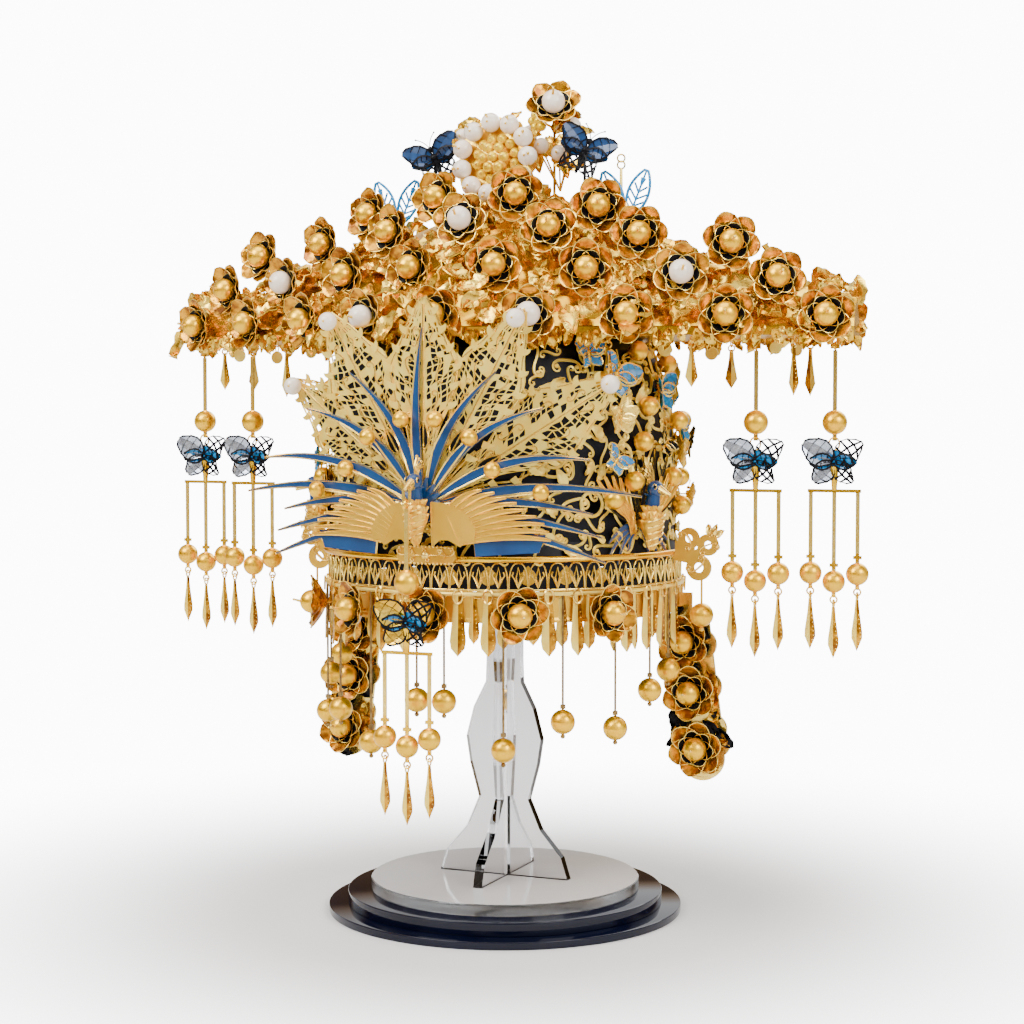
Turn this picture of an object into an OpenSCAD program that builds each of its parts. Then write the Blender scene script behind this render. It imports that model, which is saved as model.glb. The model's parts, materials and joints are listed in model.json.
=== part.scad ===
// Phoenix crown on a display stand: a gilt bridal headdress with a wide flowered roof, a pierced cap
// on a head band, a front phoenix before a fan of blades, hanging pendants and temple plates.
// Millimetres. The front faces -Y, +Z is up and the origin is the middle of the base's underside.

/* [Stand] */
// Diameter of the dark base plate
base_d = 184; // [176:1:200]
// Thickness of the dark base plate
base_t = 4; // [3:0.5:8]
// Diameter of the dark step on it
step_d = 164; // [150:1:174]
// Thickness of the dark step
step_t = 7; // [4:0.5:10]
// Diameter of the clear disc
disc_d = 140; // [120:1:148]
// Thickness of the clear disc
disc_t = 6; // [4:0.5:10]
// Thickness of the two crossed post plates
post_t = 5; // [4:0.5:7]
// Width of the post along its plain length
post_w = 19; // [14:1:26]
// Width of the post's foot
post_foot_w = 72; // [50:1:90]
// Width of the swelling above the foot
post_swell_w = 42; // [26:1:48]
// Diameter of the clear disc that carries the cap
rest_d = 56; // [40:1:56]
// Thickness of that disc
rest_t = 4; // [3:0.5:6]

/* [Head band] */
// Outer diameter of the head band
band_d = 182; // [176:1:188]
// Height of the band's lower edge above the floor
band_z = 158; // [150:1:170]
// Height of the band
band_h = 15; // [13:0.5:18]
// Wall of the band, the lattice and the cap
wall = 1.2; // [1:0.1:1.6]
// Height of the lattice above the band
lattice_h = 15; // [13:0.5:18]
// Number of arches in the lattice
lattice_arches = 30; // [24:1:30]
// Diameter of the rail's wire
rail_wire = 3; // [2:0.25:4]
// Length of a leaf strip of the fringe
strip_len = 30; // [20:1:36]
// Width of a leaf strip
strip_w = 8.5; // [6:0.5:10]
// Length of the longest drop rod
rod_len = 82; // [70:1:90]
// Diameter of a drop rod
rod_d = 1.2; // [1:0.1:1.6]

/* [Cap] */
// Outer diameter of the cap where its dome begins
cap_d = 174; // [168:1:176]
// Height of the dome's top above the roof board
dome_rise = 18; // [12:1:24]
// Width of a hole in the pierced cap
cap_hole = 11; // [7:0.5:12]
// Wingspan of a butterfly on the cap
butterfly_w = 26; // [20:1:30]
// Diameter of a spray bead
spray_bead_d = 10; // [7:0.5:11]

/* [Roof] */
// Height of the roof board's top above the floor
roof_z = 300; // [294:1:310]
// Thickness of the roof board
board_t = 4; // [3:0.5:5]
// Width of the roof from tip to tip
roof_w = 370; // [350:1:380]
// Depth of the roof at its middle
roof_depth = 164; // [156:1:172]
// Depth of the roof at its tips
tip_depth = 12; // [10:1:16]
// Rise of the roof at its middle
crest_rise = 72; // [66:1:76]
// Rise of the roof at its tips
tip_rise = 14; // [12:1:16]
// Wall of the roof shell
shell_t = 1.6; // [1.4:0.1:2]

/* [Flowers] */
// Diameter of a flower
flower_d = 26; // [22:0.5:27]
// Depth of a flower's cup
flower_depth = 9; // [7:0.5:10]
// Thickness of the petals
petal_t = 0.8; // [0.6:0.1:1]
// Number of petals
petals = 6; // [5:1:7]
// Diameter of a flower's bead
bead_d = 12; // [9:0.5:12.5]
// Diameter of the medallion on the roof
medallion_d = 46; // [42:1:50]
// Diameter of a medallion pearl
medallion_pearl_d = 10; // [8:0.5:10]
// Height of the medallion's middle above the roof board
medallion_rise = 88; // [84:1:92]
// Height of the top flower's middle above the roof board
top_rise = 113; // [108:1:116]

/* [Front phoenix] */
// Height of the fan's root above the band's lower edge
fan_rise = 56; // [54:1:62]
// Length of the longest pierced fan plate from the fan's root
fan_len = 111; // [90:1:113]
// Width of a fan plate
fan_w = 33; // [24:1:34]
// Thickness of the plates of the phoenix and fan
plate_t = 1; // [0.8:0.1:1.1]
// Length of the longest blue blade
blade_len = 106; // [80:1:110]
// Width of a blue blade
blade_w = 5; // [3:0.2:5.6]
// Reach of a comb wing from the fan's root
wing_reach = 63; // [50:1:68]
// Backward sweep of the wings and side blades, in degrees
sweep = 10; // [4:1:14]
// Diameter of a stalk bead
stalk_bead_d = 8; // [6:0.5:8.5]
// Diameter of a fan pearl
fan_pearl_d = 9; // [6:0.5:10]
// Radius of the phoenix's breast
breast_r = 6; // [5:0.25:6.5]

/* [Temple plates] */
// Length of a temple plate
lappet_len = 87; // [80:1:94]
// Width of a temple plate
lappet_w = 30; // [28:1:33]
// Thickness of a temple plate
lappet_t = 1.5; // [1:0.1:2]
// Outward lean of a temple plate, in degrees
lappet_lean = 7.5; // [4:0.5:9]

/* [Pendants] */
// Distance of the inner roof pendants from the middle, as a share of the roof's width
inner_share = 0.378; // [0.373:0.001:0.381]
// Distance of the outer roof pendants from the middle, as a share of the roof's width
outer_share = 0.476; // [0.473:0.001:0.481]
// Diameter of a hook's pin
pin_d = 1.4; // [1.2:0.1:1.6]
// Length of the upper bar, from the pin to the bead's middle
upper_bar = 37; // [30:1:42]
// Height of the pendant's butterfly plate
crest_plate_h = 26; // [20:1:30]
// Width of the pendant's butterfly plate
crest_plate_w = 29; // [24:1:31]
// Length of the lower bars
lower_bar = 46; // [36:1:52]
// Distance of an outer lower bar from the middle one
bar_spread = 11.6; // [11.4:0.1:11.8]
// Diameter of a lower bead
lower_bead_d = 11; // [8:0.5:11]
// Length of a leaf drop
leaf_len = 25; // [18:1:28]

/* [Hidden] */
SIDES = ["left", "right"];
PENDANTS = ["outer_left", "inner_left", "front", "inner_right", "outer_right"];
$fn = 40;
gap = 0.3;
gilt = "goldenrod";
amber = "orange";
enamel = "royalblue";

// Heights and radii that follow from the sizes above
disc_top = base_t + step_t + disc_t;
band_r = band_d / 2;
band_top = band_z + band_h;
lattice_z = band_top + gap;
cap_z = lattice_z + lattice_h + gap;
cap_r = cap_d / 2;
board_z = roof_z - board_t;
dome_z = roof_z + dome_rise;
rail_r = band_r + gap + rail_wire / 2;
fringe_wire = 2;
fringe_r = band_r + gap + fringe_wire / 2;
fringe_z = band_top - fringe_wire / 2;
stub_r = 1.2;
stub_len = 3;
bead_lift = petal_t + 0.2;
root_z = band_z + fan_rise;
inner_x = roof_w * inner_share;
outer_x = roof_w * outer_share;

// Outline of the cap's wall: shares of its height, of its radius
CAP_UP = 0;
CAP_OUT = 1;
CAP_PROFILE = [[0, 1.04], [0.06, 1.01], [0.25, 1.01], [0.5, 0.99], [0.66, 0.95], [0.78, 0.88],
    [0.88, 0.75], [0.95, 0.58], [1, 0.36]];

function cap_share(z) = (z - cap_z) / (dome_z - cap_z);
function cap_radius(z) = cap_r * lookup(cap_share(z), CAP_PROFILE);
function cap_lean(z) = atan((cap_radius(z - 5) - cap_radius(z + 5)) / 10);

// Roof surface: half depth and rise at a distance from the middle, and the height of its skin
function roof_share(x) = min(1, abs(x) / (roof_w / 2));
function half_depth(x) = tip_depth / 2 + (roof_depth - tip_depth) / 2 * (1 - pow(roof_share(x), 1.25));
function rise(x) = tip_rise + (crest_rise - tip_rise) * pow(1 - roof_share(x), 1.3);
function skin_z(x, y) = roof_z + gap + rise(x) * pow(max(0, 1 - abs(y) / half_depth(x)), 0.75);
function edge_turn(x) = x == 0 ? 0 : sign(x) * (10 + 16 * roof_share(x));

// Turns +Z to a direction: degrees from the front towards +X, degrees upwards
module aim(azimuth, elevation = 0) {
    rotate([90 - elevation, 0, azimuth]) children();
}

// Places children on the crown's side at a direction from the front, facing outwards
module around(azimuth, radius, z) {
    rotate([0, 0, azimuth]) translate([0, -radius, z]) children();
}

// Stand
module base_plate() {
    color("midnightblue") cylinder(d = base_d, h = base_t, $fn = 96);
}

module base_step() {
    color("midnightblue") translate([0, 0, base_t]) cylinder(d = step_d, h = step_t, $fn = 96);
}

module clear_disc() {
    color("lightblue", 0.5) translate([0, 0, base_t + step_t]) cylinder(d = disc_d, h = disc_t, $fn = 96);
}

// Post outline: share of the way from the disc to the swelling's end, half width in shares of foot,
// swelling and plain width
POST_UP = 0;
POST_FOOT = 1;
POST_SWELL = 2;
POST_PLAIN = 3;
POST_PROFILE = [[0, 1, 0, 0], [0.1, 0.9, 0, 0], [0.22, 0.4, 0.3, 0], [0.36, 0, 0.66, 0],
    [0.52, 0, 0.9, 0], [0.64, 0, 1, 0], [0.78, 0, 0.8, 0], [0.9, 0, 0.2, 0.6], [1, 0, 0, 1]];

module post_outline(foot, swell) {
    low = disc_top;
    bend = (band_z - disc_top) * 0.8;
    top = dome_z - wall - 2 * gap - rest_t;
    side = [for (p = POST_PROFILE)
        [p[POST_FOOT] * foot / 2 + p[POST_SWELL] * swell / 2 + p[POST_PLAIN] * post_w / 2,
            low + p[POST_UP] * bend]];
    right = concat(side, [[post_w / 2, top]]);
    left = [for (k = [len(right) - 1:-1:0]) [-right[k][0], right[k][1]]];
    polygon(concat(right, left));
}

// The two plates are halved into each other at mid height
post_joint_z = (disc_top + dome_z) / 2;

module post_plate_side() {
    color("lightblue", 0.5) difference() {
        translate([0, post_t / 2, 0]) rotate([90, 0, 0]) linear_extrude(post_t)
            post_outline(post_foot_w, post_swell_w);
        translate([-post_t / 2 - gap, -post_t, post_joint_z])
            cube([post_t + 2 * gap, 2 * post_t, dome_z]);
    }
}

module post_plate_front() {
    color("lightblue", 0.5) difference() {
        translate([-post_t / 2, 0, 0]) rotate([90, 0, 90]) linear_extrude(post_t)
            post_outline(post_foot_w, post_w * 1.15);
        translate([-post_t, -post_t / 2 - gap, 0]) cube([2 * post_t, post_t + 2 * gap, post_joint_z + gap]);
    }
}

module post_rest() {
    color("lightblue", 0.5) translate([0, 0, dome_z - wall - gap - rest_t]) cylinder(d = rest_d, h = rest_t);
}

// Head band, lattice and rail
module head_band() {
    rim = 1.2;
    color(gilt) rotate_extrude($fn = 96) polygon([
        [band_r - wall, band_z], [band_r + rim - wall, band_z], [band_r, band_z + rim],
        [band_r - wall / 3, band_z + 2 * rim], [band_r - wall / 3, band_top - 2 * rim],
        [band_r, band_top - rim], [band_r, band_top], [band_r - wall, band_top]]);
}

// A drop shape with its point up
module drop_shape(size) {
    circle(d = size);
    rotate(45) square(size / 2);
}

module lattice_band() {
    arch_w = 0.42 * PI * band_d / lattice_arches;
    color(gilt) difference() {
        rotate_extrude($fn = 96) translate([band_r - wall, lattice_z]) square([wall, lattice_h]);
        for (k = [0:lattice_arches - 1])
            around(360 * (k + 0.5) / lattice_arches, band_r - 3 * wall, lattice_z + lattice_h * 0.44)
                rotate([90, 0, 0]) linear_extrude(5 * wall) drop_shape(min(arch_w, lattice_h * 0.6));
    }
}

module rail_ring() {
    color(gilt) translate([0, 0, cap_z]) rotate_extrude($fn = 96)
        translate([rail_r, 0]) circle(d = rail_wire, $fn = 20);
}

// Fringe: a wire ring with leaf strips, and rods between the strips that carry a bead each
strip_places = 40;
flower_places = [0, 3, -3, 6, -6];
lappet_places = [11, -11];
strip_pitch = 360 / strip_places;
// Place of a rod, in half pitches, and its length as a share of the longest
ROD_PLACE = 0;
ROD_LEN = 1;
RODS = [[1, 0.72], [5, 1], [9, 0.84], [13, 0.9], [16.4, 0.7], [19, 0.6]];

function free_place(k) = len([for (p = concat(flower_places, lappet_places)) if (p == k) p]) == 0;
function rod_z(rod) = fringe_z - rod_len * rod[ROD_LEN];

module leaf_strip() {
    linear_extrude(petal_t, center = true) polygon([
        [-strip_w * 0.22, 0], [-strip_w * 0.3, -strip_len * 0.3], [-strip_w / 2, -strip_len * 0.84],
        [0, -strip_len], [strip_w / 2, -strip_len * 0.84], [strip_w * 0.3, -strip_len * 0.3],
        [strip_w * 0.22, 0]]);
}

module band_fringe() {
    color(gilt) {
        translate([0, 0, fringe_z]) rotate_extrude($fn = 96)
            translate([fringe_r, 0]) circle(d = fringe_wire, $fn = 16);
        for (k = [1 - strip_places / 2:strip_places / 2]) if (free_place(k))
            around(k * strip_pitch, fringe_r, fringe_z) rotate([90, 0, 0]) leaf_strip();
        for (rod = RODS, side = [-1, 1])
            around(side * rod[ROD_PLACE] * strip_pitch / 2, fringe_r, rod_z(rod)) {
                cylinder(d = rod_d, h = rod_len * rod[ROD_LEN]);
                sphere(d = rod_d * 2);
            }
    }
}

module drilled_bead(size, bore) {
    difference() {
        sphere(d = size);
        cylinder(d = bore, h = size + 1, center = true);
    }
}

module drop_beads() {
    color(amber) for (rod = RODS, side = [-1, 1])
        around(side * rod[ROD_PLACE] * strip_pitch / 2, fringe_r, rod_z(rod) + rod_d * 0.9 + bead_d / 2)
            drilled_bead(bead_d, rod_d + gap);
}

// A flower: a cup of petals on a stub, facing +Z, with its base at the origin
module flower_cup() {
    r = flower_d / 2;
    notch = r * 1.2 / petals;
    difference() {
        rotate_extrude() polygon([
            [0, -stub_len], [stub_r, -stub_len], [stub_r, 0], [r * 0.24, 0], [r * 0.68, flower_depth * 0.45],
            [r, flower_depth], [r * 0.96, flower_depth + petal_t / 2],
            [r * 0.62, flower_depth * 0.45 + petal_t], [r * 0.22, petal_t], [0, petal_t]]);
        for (k = [1:petals]) rotate(360 * k / petals) translate([r * 1.04, 0, -1])
            cylinder(r = notch, h = flower_depth + 3);
    }
}

module flower_bead() {
    translate([0, 0, bead_lift + bead_d / 2]) sphere(d = bead_d);
}

module on_band() {
    for (k = flower_places) around(k * strip_pitch, band_r + gap + stub_len, band_z + band_h * 0.3)
        aim(0) children();
}

module band_flowers() {
    color(gilt) on_band() flower_cup();
}

module band_pearls() {
    color(amber) on_band() flower_bead();
}

// Cap: a domed shell pierced by three rows of holes
HOLE_UP = 0;
HOLE_SIZE = 1;
HOLE_ROWS = [[0.2, 1], [0.38, 0.95], [0.56, 0.85]];
holes_round = 14;

module cap_shell() {
    height = dome_z - cap_z;
    outer = [for (p = CAP_PROFILE) [p[CAP_OUT] * cap_r, cap_z + p[CAP_UP] * height]];
    inner = [for (k = [len(CAP_PROFILE) - 1:-1:0])
        [CAP_PROFILE[k][CAP_OUT] * cap_r - wall, cap_z + CAP_PROFILE[k][CAP_UP] * (height - wall)]];
    crown = [[0, dome_z], [0, dome_z - wall]];
    color(gilt) difference() {
        rotate_extrude($fn = 96) polygon(concat(outer, crown, inner));
        for (row = [0:len(HOLE_ROWS) - 1], k = [0:holes_round - 1])
            around(360 * (k + 0.5 * (row % 2)) / holes_round, cap_r * 0.8,
                cap_z + HOLE_ROWS[row][HOLE_UP] * height) rotate([90, 0, 0])
                linear_extrude(cap_r * 0.35) circle(d = cap_hole * HOLE_ROWS[row][HOLE_SIZE]);
    }
}

// A butterfly facing +Z with its back at the origin: a body and two pairs of lifted wings
module butterfly(span) {
    body_r = span * 0.07;
    for (side = [0, 1]) mirror([side, 0, 0]) rotate([0, -24, 0])
        translate([body_r * 0.4, 0, body_r * 1.1]) linear_extrude(petal_t) {
            translate([span * 0.24, span * 0.13]) circle(d = span * 0.42);
            translate([span * 0.17, -span * 0.17]) circle(d = span * 0.3);
            translate([0, -span * 0.1]) square([span * 0.2, span * 0.2]);
        }
    translate([0, -span * 0.3, body_r * 1.1]) rotate([-90, 0, 0]) cylinder(r = body_r, h = span * 0.6);
    cylinder(r = body_r * 0.6, h = body_r);
}

// Places on the cap: direction from the front, share of the cap's height
SPOT_TURN = 0;
SPOT_UP = 1;
BLUE_SPOTS = [[63, 0.67], [88, 0.62]];
GOLD_SPOTS = [[103, 0.4], [113, 0.66]];
BEAD_SPOTS = [[75, 0.56], [76, 0.76], [97, 0.18], [101, 0.72]];

module on_cap(spots) {
    for (spot = spots, side = [-1, 1]) {
        z = cap_z + spot[SPOT_UP] * (dome_z - cap_z);
        around(side * spot[SPOT_TURN], cap_radius(z) + 1.5 * gap, z) aim(0, cap_lean(z)) children();
    }
}

module butterflies_blue() {
    color(enamel) on_cap(BLUE_SPOTS) butterfly(butterfly_w);
}

module butterflies_gold() {
    color(gilt) on_cap(GOLD_SPOTS) butterfly(butterfly_w);
}

module spray_beads() {
    color(amber) on_cap(BEAD_SPOTS) translate([0, 0, spray_bead_d / 2]) sphere(d = spray_bead_d);
}

// Roof
hook_drop = 5;
cheek_t = 0.8;
eye_wire = 1.4;
eye_inner_r = pin_d / 2 + gap;
cheek_x = eye_wire / 2 + 0.5;

// Where a roof pendant hangs: its distance from the middle and from the front
hang_share = 0.62;
function hang_y(x) = -hang_share * half_depth(x);
pin_z = board_z - hook_drop;

// Two cheeks with a pin between them, hanging from z = 0
module hook(drop) {
    for (side = [-1, 1]) translate([side * (cheek_x + cheek_t / 2) - cheek_t / 2, -pin_d, -drop - pin_d])
        cube([cheek_t, 2 * pin_d, drop + pin_d + 0.5]);
    translate([0, 0, -drop]) rotate([0, 90, 0]) cylinder(d = pin_d, h = 2 * cheek_x + cheek_t, center = true);
}

module roof_board() {
    stations = 14;
    dome_r = cap_radius(board_z) + gap;
    xs = [for (k = [0:stations]) roof_w * (k / stations - 0.5)];
    front = [for (x = xs) [x, -half_depth(x)]];
    back = [for (k = [stations:-1:0]) [xs[k], half_depth(xs[k])]];
    color(gilt) {
        difference() {
            translate([0, 0, board_z]) linear_extrude(board_t) polygon(concat(front, back));
            translate([0, 0, board_z - 1]) cylinder(r = dome_r, h = board_t + 2, $fn = 96);
        }
        for (x = [-outer_x, -inner_x, inner_x, outer_x]) translate([x, hang_y(x), board_z]) hook(hook_drop);
    }
}

// The shell is one closed skin: an outer and an inner grid of points, joined along the lower edge
roof_stations = 18;
roof_steps = 12;
function bend_share(k, n) = let(t = 2 * k / n - 1) sign(t) * (1 - pow(1 - abs(t), 1.5));
function shell_point(i, j, inset) =
    let(x = (roof_w / 2 - inset) * (2 * i / roof_stations - 1),
        y = (half_depth(x) - inset) * bend_share(j, roof_steps),
        up = pow(max(0, 1 - abs(bend_share(j, roof_steps))), 0.75))
    [x, y, roof_z + gap + (rise(x) - inset) * up];

module roof_shell() {
    row = roof_steps + 1;
    grid = (roof_stations + 1) * row;
    last = roof_stations * row;
    outer = [for (i = [0:roof_stations], j = [0:roof_steps]) shell_point(i, j, 0)];
    inner = [for (i = [0:roof_stations], j = [0:roof_steps]) shell_point(i, j, shell_t)];
    skin = [for (i = [0:roof_stations - 1], j = [0:roof_steps - 1])
        let(a = i * row + j, b = a + row) each [[a, a + 1, b + 1], [a, b + 1, b]]];
    lining = [for (t = skin) [grid + t[2], grid + t[1], grid + t[0]]];
    front = [for (i = [0:roof_stations - 1]) let(a = i * row, b = a + row)
        each [[a, b, grid + b], [a, grid + b, grid + a]]];
    back = [for (t = front) [for (k = [2:-1:0]) t[k] + roof_steps]];
    left_cap = [for (j = [roof_steps:-1:0]) j];
    right_cap = [for (j = [0:roof_steps]) last + j];
    lining_left = [for (j = left_cap) grid + roof_steps - j];
    lining_right = [for (j = [roof_steps:-1:0]) grid + last + j];
    ends = [
        [0, grid, grid + roof_steps], [0, grid + roof_steps, roof_steps],
        [last + roof_steps, grid + last + roof_steps, grid + last],
        [last + roof_steps, grid + last, last]];
    color(gilt) polyhedron(
        points = concat(outer, inner),
        faces = concat(skin, lining, front, back, [left_cap, right_cap, lining_left, lining_right], ends),
        convexity = 6);
}

// Rows of roof flowers: count, reach and depth as shares of the roof, height above the board at the
// middle and at the end as shares of the crest's rise, and how many of them the back repeats
ROW_COUNT = 0;
ROW_REACH = 1;
ROW_DEPTH = 2;
ROW_MID = 3;
ROW_END = 4;
ROW_BACK = 5;
FLOWER_ROWS = [[9, 0.93, 1, 0.08, 0.08, 9], [8, 0.81, 0.8, 0.43, 0.33, 6],
    [7, 0.69, 0.62, 0.74, 0.56, 3], [4, 0.335, 0.42, 0.96, 0.82, 0]];
// Row and place of the flowers whose bead is white
WHITE_PLACES = [[0, 3], [0, 5], [1, 1], [1, 6], [2, 3]];

function is_white(r, k) = len([for (w = WHITE_PLACES) if (w[0] == r && w[1] == k) w]) > 0;
function skipped(r, k) = (FLOWER_ROWS[r][ROW_COUNT] - FLOWER_ROWS[r][ROW_BACK]) / 2;
function shown(r, k, front) = front || (k >= skipped(r, k) && k < FLOWER_ROWS[r][ROW_COUNT] - skipped(r, k));
function place_t(r, k) = 2 * k / (FLOWER_ROWS[r][ROW_COUNT] - 1) - 1;
function place_x(r, k) = place_t(r, k) * FLOWER_ROWS[r][ROW_REACH] * roof_w / 2;
function place_z(r, k) = roof_z + crest_rise
    * (FLOWER_ROWS[r][ROW_MID] + (FLOWER_ROWS[r][ROW_END] - FLOWER_ROWS[r][ROW_MID]) * abs(place_t(r, k)));
function place_y(r, k) = let(x = place_x(r, k), d = half_depth(x))
    r == 0 ? d + 2 * gap + 1.2 * roof_share(x) : d * FLOWER_ROWS[r][ROW_DEPTH];

// The flower of a row and place, with children in its own frame
module at_roof_place(r, k) {
    translate([place_x(r, k), -place_y(r, k), place_z(r, k)]) aim(edge_turn(place_x(r, k)), r * 4) children();
}

// A flower and the wire that stands on the roof's skin behind it
module roof_flower(r, k) {
    at_roof_place(r, k) flower_cup();
    if (r > 0) {
        turn = edge_turn(place_x(r, k));
        x = place_x(r, k) - sin(turn) * stub_len / 2;
        y = -place_y(r, k) + cos(turn) * stub_len / 2;
        foot = skin_z(x, y) + 4 * gap;
        translate([x, y, foot]) cylinder(r = stub_r * 0.75, h = place_z(r, k) - foot, $fn = 20);
    }
}

module roof_flowers(front) {
    color(gilt) mirror([0, front ? 0 : 1, 0])
        for (r = [0:len(FLOWER_ROWS) - 1], k = [0:FLOWER_ROWS[r][ROW_COUNT] - 1])
            if (shown(r, k, front)) roof_flower(r, k);
}

module roof_beads(white) {
    for (front = [true, false]) mirror([0, front ? 0 : 1, 0])
        for (r = [0:len(FLOWER_ROWS) - 1], k = [0:FLOWER_ROWS[r][ROW_COUNT] - 1])
            if (shown(r, k, front) && (front && is_white(r, k)) == white) at_roof_place(r, k) flower_bead();
}

// Medallion: a disc with a domed heart on a stem, ringed by pearls
medallion_y = -9;
medallion_back = 4;
medallion_stem_r = 2;
medallion_tilt = 6;
medallion_count = floor(PI * (medallion_d - medallion_pearl_d * 0.9) / (medallion_pearl_d + 0.2));
heart_h = 9.5;
// The heart's outline: share of its radius, share of its height
HEART = [[1, 0], [0.9, 0.53], [0.6, 0.84], [0.3, 0.97], [0, 1]];

module at_medallion() {
    translate([0, medallion_y, roof_z + medallion_rise]) aim(0, medallion_tilt) children();
}

module medallion() {
    heart_r = medallion_d / 2 - medallion_pearl_d - 1;
    stem_y = medallion_y + medallion_back;
    foot = skin_z(0, stem_y) + 3 * gap;
    heart = [for (p = HEART) [p[0] * heart_r, p[1] * heart_h]];
    color(amber) {
        at_medallion() rotate_extrude() polygon(concat([
            [0, -medallion_back - 2], [medallion_stem_r, -medallion_back - 2], [medallion_stem_r, -1.5],
            [medallion_d / 2 - 3, -1.5], [medallion_d / 2, 0]], heart));
        translate([0, stem_y, foot])
            cylinder(r = medallion_stem_r * 0.7, h = roof_z + medallion_rise - foot);
    }
}

module medallion_pearls() {
    ring_r = medallion_d / 2 - medallion_pearl_d * 0.45;
    color("ivory") at_medallion() for (k = [1:medallion_count]) rotate(360 * k / medallion_count)
        translate([ring_r, 0, medallion_pearl_d / 2 + gap]) sphere(d = medallion_pearl_d);
}

top_x = 28;

module at_top_flower() {
    translate([top_x, 0, roof_z + top_rise]) aim(12, 30) children();
}

module top_flower() {
    foot = skin_z(top_x, stub_len / 2) + 3 * gap;
    color(gilt) {
        at_top_flower() flower_cup();
        translate([top_x, stub_len / 2, foot]) cylinder(r = 0.9, h = roof_z + top_rise - stub_len / 3 - foot);
    }
}

module top_pearl() {
    color("ivory") at_top_flower() flower_bead();
}

// Butterflies at each side of the medallion, and pairs of blue leaves farther out, each on a wire
// Distance from the middle as a share of the roof's width, height as a share of the crest's rise
WIRE_OUT = 0;
WIRE_UP = 1;
TOP_BUTTERFLIES = [[-0.097, 1.24], [0.116, 1.24]];
LEAF_SPRIGS = [[-0.168, 0.83], [0.178, 0.83]];

module wire_up(x, y, top) {
    foot = skin_z(x, y) + 3 * gap;
    translate([x, y, foot]) cylinder(r = 0.9, h = top - foot);
}

module top_butterflies() {
    color(enamel) for (spot = TOP_BUTTERFLIES) {
        x = spot[WIRE_OUT] * roof_w;
        z = roof_z + spot[WIRE_UP] * crest_rise;
        translate([x, -3, z]) aim(sign(x) * 20, 10) butterfly(butterfly_w);
        wire_up(x, -2.6, z);
    }
}

module leaf_sprigs() {
    color(enamel) for (spot = LEAF_SPRIGS) {
        x = spot[WIRE_OUT] * roof_w;
        z = roof_z + spot[WIRE_UP] * crest_rise;
        translate([x, 0, z]) rotate([90, 0, 0]) linear_extrude(petal_t * 1.5, center = true) {
            circle(d = 5);
            for (side = [-1, 1]) polygon(horn([0, 0], [side * 2, 11], [side * 11, 20], 4, 1.4));
        }
        wire_up(x, 0, z);
    }
}

// Curved strip: points along a quadratic curve from a to c, bent by b, with a width at each end
horn_steps = 6;
function on_curve(a, b, c, t) = (1 - t) * (1 - t) * a + 2 * t * (1 - t) * b + t * t * c;
function across(a, b, c, t) = let(d = (1 - t) * (b - a) + t * (c - b)) [-d[1], d[0]] / norm(d);
function horn_side(a, b, c, w0, w1, t, side) =
    on_curve(a, b, c, t) + side * across(a, b, c, t) * (w0 + (w1 - w0) * t) / 2;
function horn(a, b, c, w0, w1) = concat(
    [for (k = [0:horn_steps]) horn_side(a, b, c, w0, w1, k / horn_steps, 1)],
    [for (k = [horn_steps:-1:0]) horn_side(a, b, c, w0, w1, k / horn_steps, -1)]);

// Front phoenix: everything stands in layers before the cap, each at its distance from the axis
hub_r = 5;
fan_front = band_r + 6.5 + plate_t + gap;
blade_layer = fan_front + plate_t + 0.6;
blade_t = 1.2;
boss_r = hub_r + 3;
wing_layer = blade_layer + blade_t + gap + (boss_r - hub_r) * sin(sweep);
breast_y = blade_layer + blade_t + 0.4 + breast_r;
hook_y = breast_y + breast_r + 4;
beak_pin_z = root_z + 2;

// A plate standing upright with its outline's origin at the fan's root
module upright(layer, thick) {
    translate([0, -layer, root_z]) rotate([90, 0, 0]) linear_extrude(thick) children();
}

module phoenix_mount() {
    start = cap_radius(root_z) + gap;
    color(gilt) translate([0, -start, root_z]) rotate([90, 0, 0])
        cylinder(r = hub_r, h = blade_layer - gap - start);
}

// A frame swept backwards at one side of the crown, by default as far as the wings
module swept(side, angle = sweep) {
    mirror([side < 0 ? 1 : 0, 0, 0]) translate([hub_r, -blade_layer, 0]) rotate([0, 0, angle])
        translate([-hub_r, blade_layer, 0]) children();
}

// Fan plates: side of the crown, degrees from upright, share of the longest one's length, degrees swept
// back, and layers that it stands behind the middle one
FAN_SIDE = 0;
FAN_TURN = 1;
FAN_SHARE = 2;
FAN_SWEEP = 3;
FAN_BEHIND = 4;
FAN = [[-1, 57, 1, 20, 2], [-1, 29, 0.95, 0, 1], [1, 0, 0.9, 0, 0], [1, 29, 0.95, 0, 1], [1, 57, 1, 20, 2]];
fan_steps = 14;
swept_start = 1.4;
function fan_start(f) = hub_r + gap + (f[FAN_SWEEP] > 0 ? swept_start : 0);
function fan_layer(f) = fan_front - f[FAN_BEHIND] * (plate_t + gap);
// Half width of a fan plate along its length: a leaf with seven shallow lobes
fan_foot = 1.6;
fan_lobes = 3.5;
function fan_half(t) = fan_foot
    + (fan_w / 2 - fan_foot) * pow(sin(180 * pow(t, 1.25)), 1.1) * (1 + 0.09 * sin(360 * fan_lobes * t));
// Holes of a fan plate: share of its length, share of its half width sideways, size as a share of its width
HOLE_ALONG = 0;
HOLE_OUT = 1;
HOLE_WIDE = 2;
FAN_HOLES = [[0.36, 0.42, 0.2], [0.5, 0.5, 0.28], [0.65, 0.5, 0.31], [0.8, 0.46, 0.22]];
// The small hole at its tip, as shares of the length and the width
tip_hole_up = 0.93;
tip_hole_d = 0.07;

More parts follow.
